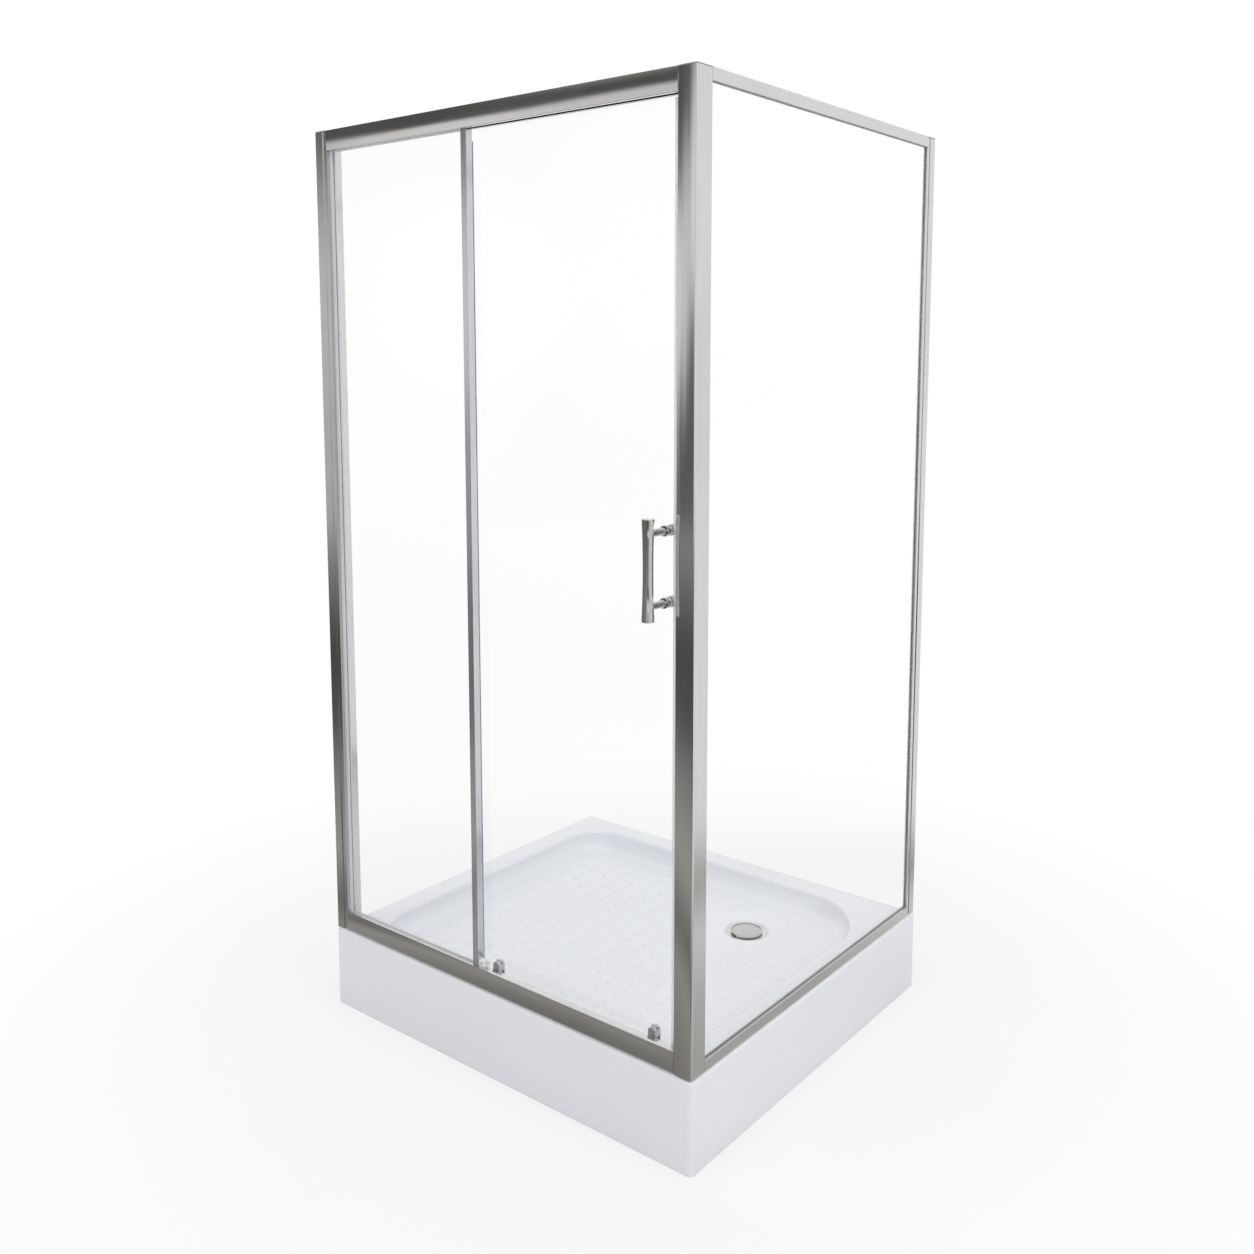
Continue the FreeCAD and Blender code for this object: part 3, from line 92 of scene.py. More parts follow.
# Turn from the front towards the left and rise above the horizon, the angles at which the
# patch ends and is full, all in degrees, and its brightness.
ROOM_PATCHES = (
    ((40, 22), (58, 40), 0.1),
    ((54, -1), (12, 5), 0.6),
    ((37, 4), (8, 2), 0.8),
    ((25, 7), (9, 4), 0.97),
    ((46, 3), (6.2, 3), 0.9),
    ((27, -6), (11, 5), 0.12),
    ((43, 27), (9, 3), 0.45),
    ((12, 8), (14, 7), 0.95),
)
FLOOR_COLOUR = (0.93, 0.93, 0.93, 1.0)
FLOOR_ROUGHNESS = 0.8
FLOOR_RADIUS = 9.0
FLOOR_SIDES = 96
# The camera sees the floor this white, besides its shading, up to where it fades to pure white.
FLOOR_WHITENESS = 0.62
FLOOR_FADE = (0.75, 1.8)
# Metal sees a brighter floor towards the back right. It starts and is full where the direction
# from the middle points that way by these shares.
BACK_RIGHT = (0.707, 0.707, 0.0)
FLOOR_RIGHT_FADE = (-0.15, 0.4)
# Distance from the middle in metres and how bright metal sees the floor there.
FLOOR_AT_LEFT = ((0.6, 0.2), (1.0, 0.36), (1.22, 0.18), (1.6, 0.4), (2.2, 0.3), (3.0, 0.1),
                 (4.5, 0.08), (5.9, 0.2), (9.0, 0.42))
FLOOR_AT_RIGHT = ((0.75, 0.5), (1.09, 0.78), (1.37, 0.45), (1.8, 0.95), (9.0, 1.0))
# Name, side in metres, power in watts, place and the point it is aimed at.
SOFT_BOXES = (
    ("soft_box_above", 3.0, 33.0, (0.2, -0.3, 3.6), (0.0, 0.0, 0.4)),
    ("soft_box_front", 2.2, 19.0, (-1.6, -3.6, 1.6), (0.0, 0.0, 0.8)),
    ("soft_box_right", 2.2, 25.0, (3.6, -0.4, 1.6), (0.0, 0.0, 0.8)),
    ("soft_box_behind", 1.8, 11.0, (-2.3, 2.4, 1.7), (0.0, 0.0, 0.15)),
)


def add_node(tree, kind, **settings):
    """A new shader node, with its settings and, by name, the values of its inputs."""
    node = tree.nodes.new("ShaderNode" + kind)
    for name, value in settings.items():
        if hasattr(node, name):
            setattr(node, name, value)
        else:
            node.inputs[name.replace("_", " ")].default_value = value
    return node


def feed(tree, value, socket):
    """Link a socket, or set a plain value, into an input."""
    if isinstance(value, bpy.types.NodeSocket):
        tree.links.new(value, socket)
    else:
        socket.default_value = value


def colour_mix(tree, factor, first, second):
    """The colour between two colours or sockets, by a factor socket or number."""
    mix = tree.nodes.new("ShaderNodeMix")
    mix.data_type = "RGBA"
    for socket, value in zip((0, 6, 7), (factor, first, second)):
        feed(tree, value, mix.inputs[socket])
    return mix.outputs[2]


def combine(tree, first, second, operation="ADD"):
    """Two numbers or sockets, added or put through another maths operation."""
    maths = tree.nodes.new("ShaderNodeMath")
    maths.operation = operation
    feed(tree, first, maths.inputs[0])
    feed(tree, second, maths.inputs[1])
    return maths.outputs[0]


def between(tree, factor, first, second):
    """The number between two numbers or sockets, by a factor socket."""
    mix = tree.nodes.new("ShaderNodeMix")
    for socket, value in zip((0, 2, 3), (factor, first, second)):
        feed(tree, value, mix.inputs[socket])
    return mix.outputs[0]


def smooth_step(tree, value, low, high):
    """From 0 to 1, smoothly, as a value goes from low to high."""
    step = add_node(tree, "MapRange", interpolation_type="SMOOTHSTEP", From_Min=low, From_Max=high)
    tree.links.new(value, step.inputs["Value"])
    return step.outputs["Result"]


def dot_with(tree, vector, axis):
    """How far a vector socket points along an axis."""
    dot = add_node(tree, "VectorMath", operation="DOT_PRODUCT")
    tree.links.new(vector, dot.inputs[0])
    dot.inputs[1].default_value = axis
    return dot.outputs["Value"]


def along_ramp(tree, value, stops):
    """The colour at a value from 0 to 1, between stops of a place and a colour."""
    ramp = add_node(tree, "ValToRGB")
    tree.links.new(value, ramp.inputs[0])
    elements = ramp.color_ramp.elements
    while len(elements) < len(stops):
        elements.new(0.5)
    for element, (place, tone) in zip(elements, stops):
        element.position = place
        element.color = (*tone, 1.0)
    return ramp.outputs[0]


def towards(turn, rise):
    """The direction at a turn from the front towards the left and a rise, in degrees."""
    turn, rise = math.radians(turn), math.radians(rise)
    return (-math.sin(turn) * math.cos(rise), -math.cos(turn) * math.cos(rise), math.sin(rise))


world = bpy.data.worlds.new("studio")
world.use_nodes = True
bpy.context.scene.world = world
room = world.node_tree
room.nodes.clear()
direction = add_node(room, "TexCoord").outputs["Generated"]
clouds = add_node(room, "TexNoise", Scale=ROOM_CLOUD_SCALE, Detail=2.0)
room.links.new(direction, clouds.inputs["Vector"])
round_zero = combine(room, clouds.outputs["Fac"], 0.5, "SUBTRACT")
unevenness = combine(room, round_zero, 2 * ROOM_UNEVEN, "MULTIPLY")
brightness = combine(room, ROOM_BRIGHT, unevenness)
for place, (outer, inner), level in ROOM_PATCHES:
    aim = dot_with(room, direction, towards(*place))
    mask = smooth_step(room, aim, math.cos(math.radians(outer)), math.cos(math.radians(inner)))
    brightness = between(room, mask, brightness, level)
path = add_node(room, "LightPath")
plain = (ROOM_LIGHT, ROOM_LIGHT, ROOM_LIGHT, 1.0)
in_metal = along_ramp(room, brightness, ROOM_TONES)
seen = colour_mix(room, path.outputs["Is Glossy Ray"], plain, in_metal)
straight = combine(room, path.outputs["Is Camera Ray"], path.outputs["Is Transmission Ray"],
                   "MAXIMUM")
background = add_node(room, "Background")
room.links.new(colour_mix(room, straight, seen, WHITE), background.inputs["Color"])
room.links.new(background.outputs[0], add_node(room, "OutputWorld").inputs["Surface"])

for name, side, power, place, target in SOFT_BOXES:
    lamp = bpy.data.lights.new(name, "AREA")
    lamp.shape = "SQUARE"
    lamp.size = side
    lamp.energy = power
    soft_box = bpy.data.objects.new(name, lamp)
    soft_box.location = place
    aim = Vector(target) - Vector(place)
    soft_box.rotation_euler = aim.to_track_quat("-Z", "Y").to_euler()
    soft_box.visible_glossy = name == "soft_box_above"
    soft_box.visible_camera = soft_box.visible_transmission = False
    bpy.context.scene.collection.objects.link(soft_box)


def new_material(name):
    """A material with its Principled shader, and its node tree."""
    material = bpy.data.materials.new(name)
    material.use_nodes = True
    tree = material.node_tree
    return material, tree, tree.nodes["Principled BSDF"]


def by_distance(tree, metres, levels):
    """The floor's brightness in metal as its distance from the middle grows."""
    stops = [(place / FLOOR_RADIUS, (level, level, level)) for place, level in levels]
    return along_ramp(tree, combine(tree, metres, FLOOR_RADIUS, "DIVIDE"), stops)


floor_material, floor_tree, floor_surface = new_material("cyclorama")
floor_surface.inputs["Base Color"].default_value = FLOOR_COLOUR
floor_surface.inputs["Roughness"].default_value = FLOOR_ROUGHNESS
floor_surface.inputs["Specular IOR Level"].default_value = 0.0
floor_place = add_node(floor_tree, "TexCoord").outputs["Object"]
distance = add_node(floor_tree, "VectorMath", operation="LENGTH")
floor_tree.links.new(floor_place, distance.inputs[0])
outwards = add_node(floor_tree, "VectorMath", operation="NORMALIZE")
floor_tree.links.new(floor_place, outwards.inputs[0])
rightwards = dot_with(floor_tree, outwards.outputs["Vector"], BACK_RIGHT)
to_right = smooth_step(floor_tree, rightwards, *FLOOR_RIGHT_FADE)
floor_in_metal = between(floor_tree, to_right,
                         by_distance(floor_tree, distance.outputs["Value"], FLOOR_AT_LEFT),
                         by_distance(floor_tree, distance.outputs["Value"], FLOOR_AT_RIGHT))
floor_in_metal = along_ramp(floor_tree, floor_in_metal, ROOM_TONES)
floor_path = add_node(floor_tree, "LightPath")
glossy = combine(floor_tree, floor_path.outputs["Is Glossy Ray"],
                 floor_path.outputs["Is Transmission Ray"], "SUBTRACT")
glow = add_node(floor_tree, "Emission")
floor_tree.links.new(colour_mix(floor_tree, glossy, WHITE, floor_in_metal), glow.inputs["Color"])
looked_at = combine(floor_tree, floor_path.outputs["Is Camera Ray"],
                    floor_path.outputs["Is Transmission Ray"], "MAXIMUM")
beyond = smooth_step(floor_tree, distance.outputs["Value"], *FLOOR_FADE)
whiteness = between(floor_tree, beyond, FLOOR_WHITENESS, 1.0)
plain_white = combine(floor_tree, looked_at, whiteness, "MULTIPLY")
floor_mix = add_node(floor_tree, "MixShader")
floor_tree.links.new(combine(floor_tree, plain_white, glossy, "MAXIMUM"), floor_mix.inputs[0])
floor_tree.links.new(floor_surface.outputs[0], floor_mix.inputs[1])
floor_tree.links.new(glow.outputs[0], floor_mix.inputs[2])
floor_tree.links.new(floor_mix.outputs[0], floor_tree.nodes["Material Output"].inputs["Surface"])


def finish_piece(name, form, material, body):
    """A new piece from a bmesh: its mesh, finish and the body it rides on."""
    mesh = bpy.data.meshes.new(name)
    form.to_mesh(mesh)
    form.free()
    mesh.materials.append(material)
    piece = bpy.data.objects.new(name, mesh)
    bpy.context.scene.collection.objects.link(piece)
    if body:
        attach(piece, body)
    return piece


floor_form = bmesh.new()
bmesh.ops.create_circle(floor_form, cap_ends=True, segments=FLOOR_SIDES, radius=FLOOR_RADIUS)
finish_piece("floor", floor_form, floor_material, None)

# ---- surface grain ----
# Drawn metal has fine lines along it and moulded plastic a fine even grain, both under slow
# smudges from handling. One group gives them to every finish, at its own scale.
GRAIN_HEIGHT = 0.0004
# The grain's tones at which a finish has its dark and its light colour.
TONE_RANGE = (0.35, 0.65)


def grain_group():
    """Fine lines along a drawn or moulded surface, with slow smudges over them."""
    group = bpy.data.node_groups.new("surface_grain", "ShaderNodeTree")
    face = group.interface
    for label in ("Roughness", "Spread", "Smudges", "Depth"):
        face.new_socket(label, in_out="INPUT", socket_type="NodeSocketFloat")
    face.new_socket("Grain", in_out="INPUT", socket_type="NodeSocketVector")
    for label, kind in (("Roughness", "Float"), ("Tone", "Float"), ("Normal", "Vector")):
        face.new_socket(label, in_out="OUTPUT", socket_type="NodeSocket" + kind)
    given = group.nodes.new("NodeGroupInput")
    made = group.nodes.new("NodeGroupOutput")
    place = add_node(group, "TexCoord").outputs["Object"]
    stretch = add_node(group, "VectorMath", operation="MULTIPLY")
    group.links.new(place, stretch.inputs[0])
    group.links.new(given.outputs["Grain"], stretch.inputs[1])
    lines = add_node(group, "TexNoise", Scale=1.0, Detail=3.0)
    group.links.new(stretch.outputs[0], lines.inputs["Vector"])
    smudges = add_node(group, "TexNoise", Detail=2.0)
    group.links.new(place, smudges.inputs["Vector"])
    group.links.new(given.outputs["Smudges"], smudges.inputs["Scale"])
    halves = [combine(group, noise.outputs["Fac"], 0.5, "MULTIPLY") for noise in (lines, smudges)]
    tone = combine(group, *halves)
    round_zero = combine(group, tone, 0.5, "SUBTRACT")
    offset = combine(group, round_zero, given.outputs["Spread"], "MULTIPLY")
    roughness = combine(group, given.outputs["Roughness"], offset)
    group.links.new(roughness, made.inputs["Roughness"])
    group.links.new(tone, made.inputs["Tone"])
    bump = add_node(group, "Bump", Distance=GRAIN_HEIGHT)
    group.links.new(given.outputs["Depth"], bump.inputs["Strength"])
    group.links.new(lines.outputs["Fac"], bump.inputs["Height"])
    group.links.new(bump.outputs[0], made.inputs["Normal"])
    return group


SURFACE_GRAIN = grain_group()
# How fine the grain is along X, Y and Z.
ANY_WAY = (220.0, 220.0, 220.0)
ALONG_X = (5.0, 420.0, 420.0)
ALONG_Y = (420.0, 5.0, 420.0)
UPRIGHT = (420.0, 420.0, 5.0)


def grained(name, dark, light, roughness, spread, grain=ANY_WAY, smudges=4.0, depth=0.05,
            **sockets):
    """A finish whose colour, roughness and relief vary with the shared grain."""
    material, tree, surface = new_material(name)
    grain_node = tree.nodes.new("ShaderNodeGroup")
    grain_node.node_tree = SURFACE_GRAIN
    values = {"Roughness": roughness, "Spread": spread, "Smudges": smudges, "Depth": depth,
              "Grain": grain}
    for label, value in values.items():
        grain_node.inputs[label].default_value = value
    share = add_node(tree, "MapRange", From_Min=TONE_RANGE[0], From_Max=TONE_RANGE[1])
    tree.links.new(grain_node.outputs["Tone"], share.inputs["Value"])
    tree.links.new(colour_mix(tree, share.outputs["Result"], (*dark, 1.0), (*light, 1.0)),
                   surface.inputs["Base Color"])
    tree.links.new(grain_node.outputs["Roughness"], surface.inputs["Roughness"])
    tree.links.new(grain_node.outputs["Normal"], surface.inputs["Normal"])
    for label, value in sockets.items():
        surface.inputs[label.replace("_", " ")].default_value = value
    return material


# ---- shower tray ----
# High tray formed from one sheet of white acrylic, glossy, with rounded edges and a bowl that
# falls to the waste. Its hidden side is sprayed with resin and chopped glass fibre.
ACRYLIC_DARK = (0.84, 0.856, 0.9)
ACRYLIC_LIGHT = (0.86, 0.876, 0.916)
RESIN_DARK = (0.6, 0.585, 0.53, 1.0)
RESIN_LIGHT = (0.76, 0.745, 0.7, 1.0)
RESIN_ROUGHNESS = 0.55
FIBRE_SCALE = 55.0
FIBRE_WIDTH = 0.35
# Faces below this height and within these distances of the middle are inside the hollow, and
# faces whose normal points down more than this are its ceiling.
HIDDEN_BELOW = 0.1297
HIDDEN_INSIDE = (0.4965, 0.4465)
FACES_DOWN = -0.6
acrylic = grained("white_acrylic", ACRYLIC_DARK, ACRYLIC_LIGHT, roughness=0.22, spread=0.08,
                  grain=(60.0, 60.0, 60.0), smudges=3.0, depth=0.02, Coat_Weight=0.3,
                  Coat_Roughness=0.08)


def linked_input(tree, socket):
    """The output that feeds a socket."""
    return next(link.from_socket for link in tree.links if link.to_socket == socket)


def backed_acrylic():
    """The acrylic, with rough fibre and resin where a face looks down or into the hollow."""
    material = acrylic.copy()
    material.name = "backed_acrylic"
    tree = material.node_tree
    surface = tree.nodes["Principled BSDF"]
    place = add_node(tree, "SeparateXYZ")
    tree.links.new(add_node(tree, "TexCoord").outputs["Object"], place.inputs[0])
    facing = add_node(tree, "SeparateXYZ")
    tree.links.new(add_node(tree, "NewGeometry").outputs["Normal"], facing.inputs[0])
    hidden = combine(tree, place.outputs[2], HIDDEN_BELOW, "LESS_THAN")
    for axis, limit in enumerate(HIDDEN_INSIDE):
        across = combine(tree, place.outputs[axis], 0.0, "ABSOLUTE")
        inside = combine(tree, across, limit, "LESS_THAN")
        hidden = combine(tree, hidden, inside, "MULTIPLY")
    ceiling = combine(tree, facing.outputs[2], FACES_DOWN, "LESS_THAN")
    hidden = combine(tree, hidden, ceiling, "MAXIMUM")
    fibres = add_node(tree, "TexVoronoi", feature="DISTANCE_TO_EDGE", Scale=FIBRE_SCALE)
    tree.links.new(add_node(tree, "TexCoord").outputs["Object"], fibres.inputs["Vector"])
    strands = smooth_step(tree, fibres.outputs["Distance"], 0.0, FIBRE_WIDTH)
    resin = colour_mix(tree, strands, RESIN_LIGHT, RESIN_DARK)
    colour = linked_input(tree, surface.inputs["Base Color"])
    tree.links.new(colour_mix(tree, hidden, colour, resin), surface.inputs["Base Color"])
    gloss = linked_input(tree, surface.inputs["Roughness"])
    tree.links.new(between(tree, hidden, gloss, RESIN_ROUGHNESS), surface.inputs["Roughness"])
    return material


def dress(material, *names):
    """Give the named CAD nodes this finish."""
    for name in names:
        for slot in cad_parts[name].material_slots:
            slot.material = material


dress(backed_acrylic(), "shower_tray")

# ---- anti-slip dots ----
# Low round bumps formed in the tray's floor, in even rows that leave out the waste. They fade
# into the floor all round.
DOT_RADIUS = 0.0095
DOT_RISE = 0.0012
# How far a dot's edge lies below the floor.
DOT_SINK = 0.00008
DOT_RINGS = 4
DOT_SIDES = 10
# Along X and along Y.
DOT_SPACING = (0.046, 0.031)
DOT_FIELD = ((-0.385, 0.375), (-0.335, 0.335))
# The radius of the field's corners at the left and at the right.
DOT_FIELD_CORNERS = (0.06, 0.15)
DOT_FREE_RADIUS = 0.11
BOWL_DEPTH = 0.045
MERGE_DISTANCE = 0.00001
bowl_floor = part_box("shower_tray")[1].z - BOWL_DEPTH
waste_middle = sum(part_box("drain_cover"), Vector()) / 2


def has_dot(x, y):
    """Whether a dot stands here: inside the rounded field and off the waste."""
    (left, right), (front, back) = DOT_FIELD
    corner = DOT_FIELD_CORNERS[0] if x < 0 else DOT_FIELD_CORNERS[1]
    near_x = max(left + corner - x, x - right + corner, 0)
    near_y = max(front + corner - y, y - back + corner, 0)
    off_waste = math.hypot(x - waste_middle.x, y - waste_middle.y) > DOT_FREE_RADIUS
    return off_waste and math.hypot(near_x, near_y) <= corner


def turn_outline(form, outline, x, y, sides):
    """Turn an outline of radii and heights round the upright line at x and y."""
    corners = [form.verts.new((x + radius, y, height)) for radius, height in outline]
    edges = [form.edges.new(pair) for pair in zip(corners, corners[1:])]
    bmesh.ops.spin(form, geom=corners + edges, cent=(x, y, 0), axis=(0, 0, 1), dvec=(0, 0, 0),
                   angle=math.tau, steps=sides, use_merge=True)


def close_up(form):
    """Join the points that a turned outline left double, and point all faces outwards."""
    bmesh.ops.remove_doubles(form, verts=form.verts, dist=MERGE_DISTANCE)
    bmesh.ops.recalc_face_normals(form, faces=form.faces)


def single_dot():
    """A low swelling turned round the origin's upright line, closed underneath."""
    form = bmesh.new()
    base = bowl_floor - DOT_SINK
    outline = []
    for ring in range(DOT_RINGS + 1):
        share = ring / DOT_RINGS
        outline.append((share * DOT_RADIUS, base + DOT_RISE * (1 + math.cos(math.pi * share)) / 2))
    outline.append((0.0, base))
    turn_outline(form, outline, 0.0, 0.0, DOT_SIDES)
    close_up(form)
    return form


def dot_lines(axis):
    """The places of the rows or columns of dots along an axis."""
    (low, high), spacing = DOT_FIELD[axis], DOT_SPACING[axis]
    return [low + (line + 0.5) * spacing for line in range(math.ceil((high - low) / spacing))]


dot = bpy.data.meshes.new("single_dot")
single_dot().to_mesh(dot)
dots = bmesh.new()
for x in dot_lines(0):
    for y in dot_lines(1):
        if has_dot(x, y):
            dots.from_mesh(dot)
            added = dots.verts[-len(dot.vertices):]
            bmesh.ops.translate(dots, verts=added, vec=(x, y, 0.0))
bpy.data.meshes.remove(dot)
for face in dots.faces:
    face.smooth = face.normal.z > 0
finish_piece("tray_grip_dots", dots, acrylic, "frame")

# ---- tray support ----
# A particle board bonded under the bowl rests on two long and three cross bars of zinc-plated
# square tube. Five threaded legs with lock nuts and moulded pads set the tray level.
board = grained("board", (0.42, 0.31, 0.2), (0.62, 0.49, 0.34), roughness=0.75, spread=0.2,
                grain=(90.0, 90.0, 90.0), smudges=12.0, depth=0.3)
dress(board, "support_board")
zinc = grained("zinc_steel", (0.42, 0.43, 0.44), (0.62, 0.63, 0.64), roughness=0.38, spread=0.25,
               smudges=9.0, depth=0.1, Metallic=1.0)
dress(zinc, "frame_long_bars", "frame_cross_bars", "leg_studs", "leg_nuts")
black_plastic = grained("black_plastic", (0.02, 0.02, 0.021), (0.04, 0.04, 0.042),
                        roughness=0.5, spread=0.15)
dress(black_plastic, "leg_pads")

THREAD_PITCH = 0.00175
THREAD_DEPTH = 0.0009
THREAD_SIDES = 20
LEG_PLACES = ((-0.38, -0.36), (-0.38, 0.36), (0.0, 0.0), (0.38, -0.36), (0.38, 0.36))
stud_low, stud_high = (corner.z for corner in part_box("leg_studs"))
stud_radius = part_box("leg_studs")[1].x - LEG_PLACES[-1][0]


def threaded_rod(form, x, y):
    """Turn a rod with thread ridges round the upright line at x and y."""
    turns = int((stud_high - stud_low) / THREAD_PITCH)
    core = stud_radius - THREAD_DEPTH
    outline = [(0.0, stud_low), (core, stud_low)]
    for turn in range(turns):
        height = stud_low + (turn + 0.5) * THREAD_PITCH
        outline += [(stud_radius, height), (core, height + THREAD_PITCH / 2)]
    outline += [(core, stud_high), (0.0, stud_high)]
    turn_outline(form, outline, x, y, THREAD_SIDES)


rods = bmesh.new()
for place in LEG_PLACES:
    threaded_rod(rods, *place)
close_up(rods)
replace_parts(finish_piece("threaded_legs", rods, zinc, "frame"), "leg_studs")

# ---- waste ----
# Chromed flange and lift-out cover over a moulded trap. A rubber ring seals the flange to the
# tray, and the outlet runs back under the tray.
chrome = grained("chrome", (0.74, 0.73, 0.72), (0.8, 0.79, 0.78), roughness=0.07, spread=0.05,
                 smudges=20.0, depth=0.01, Metallic=1.0)
dress(chrome, "drain_flange")
dark_chrome = grained("dark_chrome", (0.5, 0.49, 0.48), (0.57, 0.56, 0.55), roughness=0.1,
                      spread=0.05, smudges=20.0, depth=0.01, Metallic=1.0)
dress(dark_chrome, "drain_cover")
grey_plastic = grained("grey_plastic", (0.2, 0.2, 0.21), (0.27, 0.27, 0.28), roughness=0.42,
                       spread=0.15)
dress(grey_plastic, "drain_trap")
black_rubber = grained("black_rubber", (0.02, 0.02, 0.02), (0.045, 0.045, 0.045), roughness=0.7,
                       spread=0.15)
dress(black_rubber, "drain_gasket")

# ---- frame ----
# Extruded aluminium, brightened and anodised, drawn lines running along each profile. Rails are
# screwed to the jamb and the post, and jambs slide in channels fixed to the walls. The two
# uprights on the panes' edges are satin, and grey plastic caps close the tops.
ALUMINIUM_DARK = (0.63, 0.624, 0.618)
ALUMINIUM_LIGHT = (0.7, 0.696, 0.692)
# The way each profile's lines run.
WAYS = {
    UPRIGHT: ("wall_channel_left", "wall_channel_back", "jamb_left", "jamb_back", "corner_post"),
    ALONG_X: ("top_rail", "threshold_rail", "threshold_cover"),
    ALONG_Y: ("side_top_rail", "side_bottom_rail"),
}
for way, names in WAYS.items():
    aluminium = grained("polished_aluminium", ALUMINIUM_DARK, ALUMINIUM_LIGHT, roughness=0.13,
                        spread=0.1, grain=way, smudges=5.0, depth=0.03, Metallic=1.0)
    dress(aluminium, *names)
satin = grained("satin_aluminium", (0.57, 0.58, 0.62), (0.66, 0.67, 0.71), roughness=0.17,
                spread=0.12, grain=UPRIGHT, smudges=5.0, depth=0.04, Metallic=0.85)
dress(satin, "fixed_edge_profile", "door_rear_profile")
dress(grey_plastic, "frame_caps")
steel = grained("steel", (0.5, 0.5, 0.5), (0.62, 0.62, 0.62), roughness=0.25, spread=0.15,
                Metallic=1.0)
dress(steel, "frame_screws")

# ---- painted screw recess shade ----
# Painted shade of the pan-head screws' cross recesses, as near-black crossed bars laid on the
# heads:
# six on the screws that lock the jambs in their wall channels, seen from inside, and two on the
# door's outer face on the screws that hold the bottom guides.
CROSS_LENGTH = 0.0036
CROSS_WIDTH = 0.0008
CROSS_PROUD = 0.00005
PAN_HEAD_HEIGHT = 0.002
JAMB_SCREW_HEIGHTS = (0.33, 1.065, 1.8)
# How far the screws stand from the wall.
JAMB_SCREW_REACH = 0.015
# Near-black colour that paints the shade inside the cross recesses.
recess_shade = grained("screw_recess_painted_shade", (0.03, 0.03, 0.03), (0.06, 0.06, 0.06), roughness=0.5,
                 spread=0.1)
left_jamb_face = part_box("jamb_left")[1].y
left_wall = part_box("wall_channel_left")[0].x
back_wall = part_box("wall_channel_back")[1].y
back_jamb_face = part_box("side_top_rail")[0].x
left_heads = (left_wall + JAMB_SCREW_REACH, left_jamb_face + PAN_HEAD_HEIGHT)
back_heads = (back_jamb_face - PAN_HEAD_HEIGHT, back_wall - JAMB_SCREW_REACH)


def shade_cross_bars(form, face, axis):
    """Add two crossed bars that lie in a screw head's face, across its axis."""
    others = [other for other in range(3) if other != axis]
    for long_way in others:
        size = [CROSS_WIDTH] * 3
        size[long_way] = CROSS_LENGTH
        size[axis] = 2 * CROSS_PROUD
        bar = Matrix.Translation(face) @ Matrix.Diagonal((*size, 1.0))
        bmesh.ops.create_cube(form, size=1.0, matrix=bar)


jamb_crosses = bmesh.new()
for height in JAMB_SCREW_HEIGHTS:
    shade_cross_bars(jamb_crosses, (*left_heads, height), 1)
    shade_cross_bars(jamb_crosses, (*back_heads, height), 0)
finish_piece("jamb_screw_recess_shade", jamb_crosses, recess_shade, "frame")
guide_crosses = bmesh.new()
screws_low, screws_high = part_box("guide_screws")
for side in ("left", "right"):
    low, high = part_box("guide_wheel_" + side)
    middle = ((low.x + high.x) / 2, screws_low.y, (screws_low.z + screws_high.z) / 2)
    shade_cross_bars(guide_crosses, middle, 1)
finish_piece("guide_screw_recess_shade", guide_crosses, recess_shade, "door")


# ---- glass ----
# Three panes of clear tempered glass, bedded in rubber in the frame. The door's pane is drilled
# for its rollers, guides and handle.
def clear_material(name, tint, roughness, ior):
    """A see-through finish that lets the lamps through to what stands behind it."""
    material, tree, surface = new_material(name)
    surface.inputs["Base Color"].default_value = (*tint, 1.0)
    surface.inputs["Roughness"].default_value = roughness
    surface.inputs["IOR"].default_value = ior
    surface.inputs["Transmission Weight"].default_value = 1.0
    path = add_node(tree, "LightPath")
    clear = add_node(tree, "BsdfTransparent")
    mix = add_node(tree, "MixShader")
    through = combine(tree, path.outputs["Is Shadow Ray"], path.outputs["Is Diffuse Ray"],
                      "MAXIMUM")
    tree.links.new(through, mix.inputs[0])
    tree.links.new(surface.outputs[0], mix.inputs[1])
    tree.links.new(clear.outputs[0], mix.inputs[2])
    tree.links.new(mix.outputs[0], tree.nodes["Material Output"].inputs["Surface"])
    return material


glass = clear_material("clear_glass", tint=(0.995, 1.0, 0.998), roughness=0.0, ior=1.33)
dress(glass, "fixed_glass", "side_glass", "door_glass")

# ---- gaskets and seals ----
# Pressed-in glazing rubber, grey on the side and on the front a pale tone that partly paints in
# the bright reflection along the front strips, soft clear seals along the door, and magnetic
# strips cased in white on the door and the post. Black rubber blocks carry the fixed panes.
# Pale colour that is partly the rubber's own and partly a painted reflection along the front
# strips.
front_gasket_and_sheen = grained("pale_glazing_rubber_with_painted_sheen", (0.6, 0.61, 0.63), (0.7, 0.71, 0.73),
                       roughness=0.4, spread=0.15, grain=UPRIGHT)
dress(front_gasket_and_sheen, "front_gaskets")
side_gasket = grained("grey_glazing_rubber", (0.26, 0.26, 0.27), (0.38, 0.38, 0.39),
                      roughness=0.35, spread=0.15, grain=UPRIGHT)
dress(side_gasket, "side_gaskets")
seal = grained("soft_seal", (0.88, 0.89, 0.9), (0.94, 0.95, 0.96), roughness=0.25, spread=0.1,
               grain=UPRIGHT, Alpha=0.5)
dress(seal, "door_rear_seal", "door_front_seal", "door_bottom_seal")
magnet = grained("magnet_strip", (0.8, 0.8, 0.8), (0.88, 0.88, 0.88), roughness=0.4, spread=0.1,
                 grain=UPRIGHT)
dress(magnet, "post_magnet", "door_magnet")
dress(black_rubber, "setting_blocks")

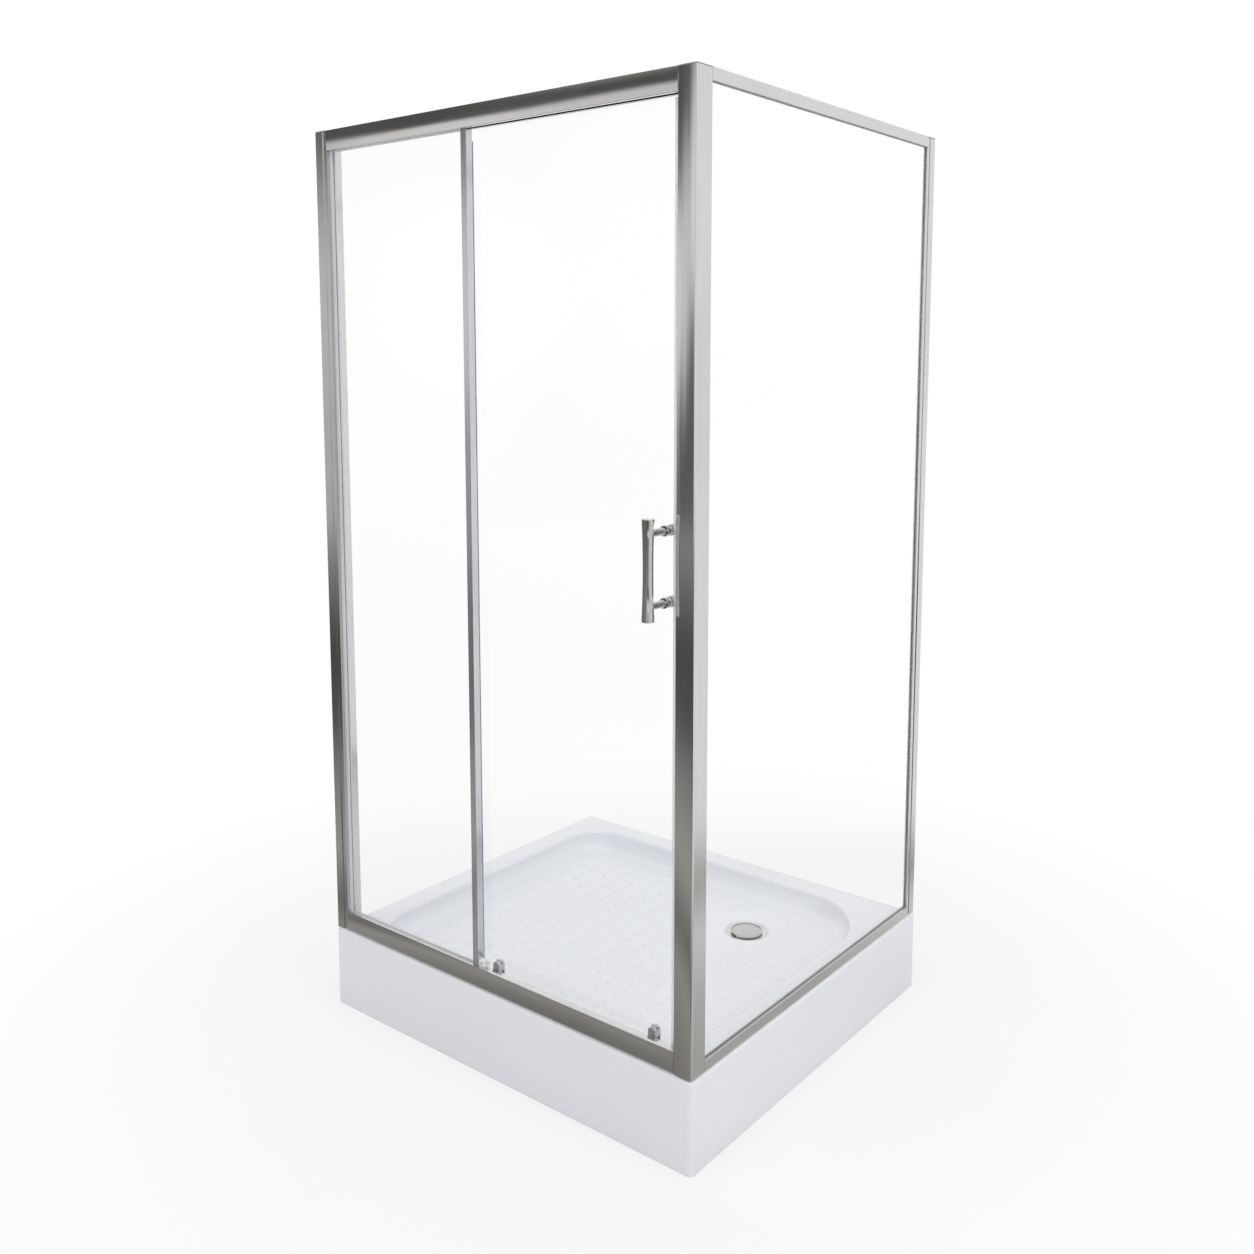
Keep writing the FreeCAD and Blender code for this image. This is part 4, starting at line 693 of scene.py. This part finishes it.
# ---- rollers and guides ----
# Nylon wheels on ball bearings carry the door at the top, on steel bolts bushed in the pane and
# between rubber stops. At the bottom two moulded guides hold sprung sliders with small wheels,
# and a white block on the threshold steadies the pane.
white_plastic = grained("white_plastic", (0.86, 0.86, 0.86), (0.9, 0.9, 0.9), roughness=0.3,
                        spread=0.1)
dress(white_plastic, "door_guide_foot")
nylon = grained("nylon", (0.8, 0.8, 0.77), (0.86, 0.86, 0.83), roughness=0.4, spread=0.1)
dress(nylon, "top_wheel_left", "top_wheel_right", "guide_wheel_left", "guide_wheel_right")
silver_plastic = grained("silver_plastic", (0.56, 0.57, 0.59), (0.66, 0.67, 0.69),
                         roughness=0.26, spread=0.1, Metallic=0.35)
dress(silver_plastic, "guide_housing_left", "guide_housing_right", "guide_slider_left",
      "guide_slider_right")
dress(steel, "guide_screws", "top_axles", "top_bearing_left", "top_bearing_right")
dress(grey_plastic, "pane_bushes")
dress(black_rubber, "track_stops")

# ---- guide springs ----
# Coil springs of steel wire, wound cold, that hold the sliders down.
SPRING_WIRE_RADIUS = 0.0003
SPRING_TURNS = 5
SPRING_STEPS = 24
WIRE_SIDES = 10


def coil_spring(low, high):
    """Sweep a wire round and up between the corners of the spring's box."""
    form = bmesh.new()
    middle = (low + high) / 2
    coil_radius = (high.x - low.x) / 2 - SPRING_WIRE_RADIUS
    start = Matrix.Translation((middle.x + coil_radius, middle.y, low.z + SPRING_WIRE_RADIUS))
    wire = bmesh.ops.create_circle(form, segments=WIRE_SIDES, radius=SPRING_WIRE_RADIUS,
                                   matrix=start @ Matrix.Rotation(math.pi / 2, 4, "X"))
    steps = SPRING_TURNS * SPRING_STEPS
    climb = (high.z - low.z - 2 * SPRING_WIRE_RADIUS) / steps
    outline = wire["verts"] + list(form.edges)
    bmesh.ops.spin(form, geom=outline, cent=middle, axis=(0.0, 0.0, 1.0), dvec=(0.0, 0.0, climb),
                   angle=math.tau * SPRING_TURNS, steps=steps)
    bmesh.ops.holes_fill(form, edges=[edge for edge in form.edges if edge.is_boundary], sides=0)
    bmesh.ops.recalc_face_normals(form, faces=form.faces)
    return form


for side in ("left", "right"):
    node, release = "guide_spring_" + side, "guide_release_" + side
    low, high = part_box(node)
    spring = finish_piece("coil_spring_" + side, coil_spring(low, high), steel, "door")
    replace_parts(spring, node)
    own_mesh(spring)

# ---- handle ----
# A waisted bar and its standoffs, turned and chromed, with collars and knobs that clamp the
# pane between soft washers on threaded studs.
dress(dark_chrome, "handle_bar", "handle_standoffs", "handle_collars", "handle_knobs")
dress(seal, "handle_washers")
dress(steel, "handle_studs")
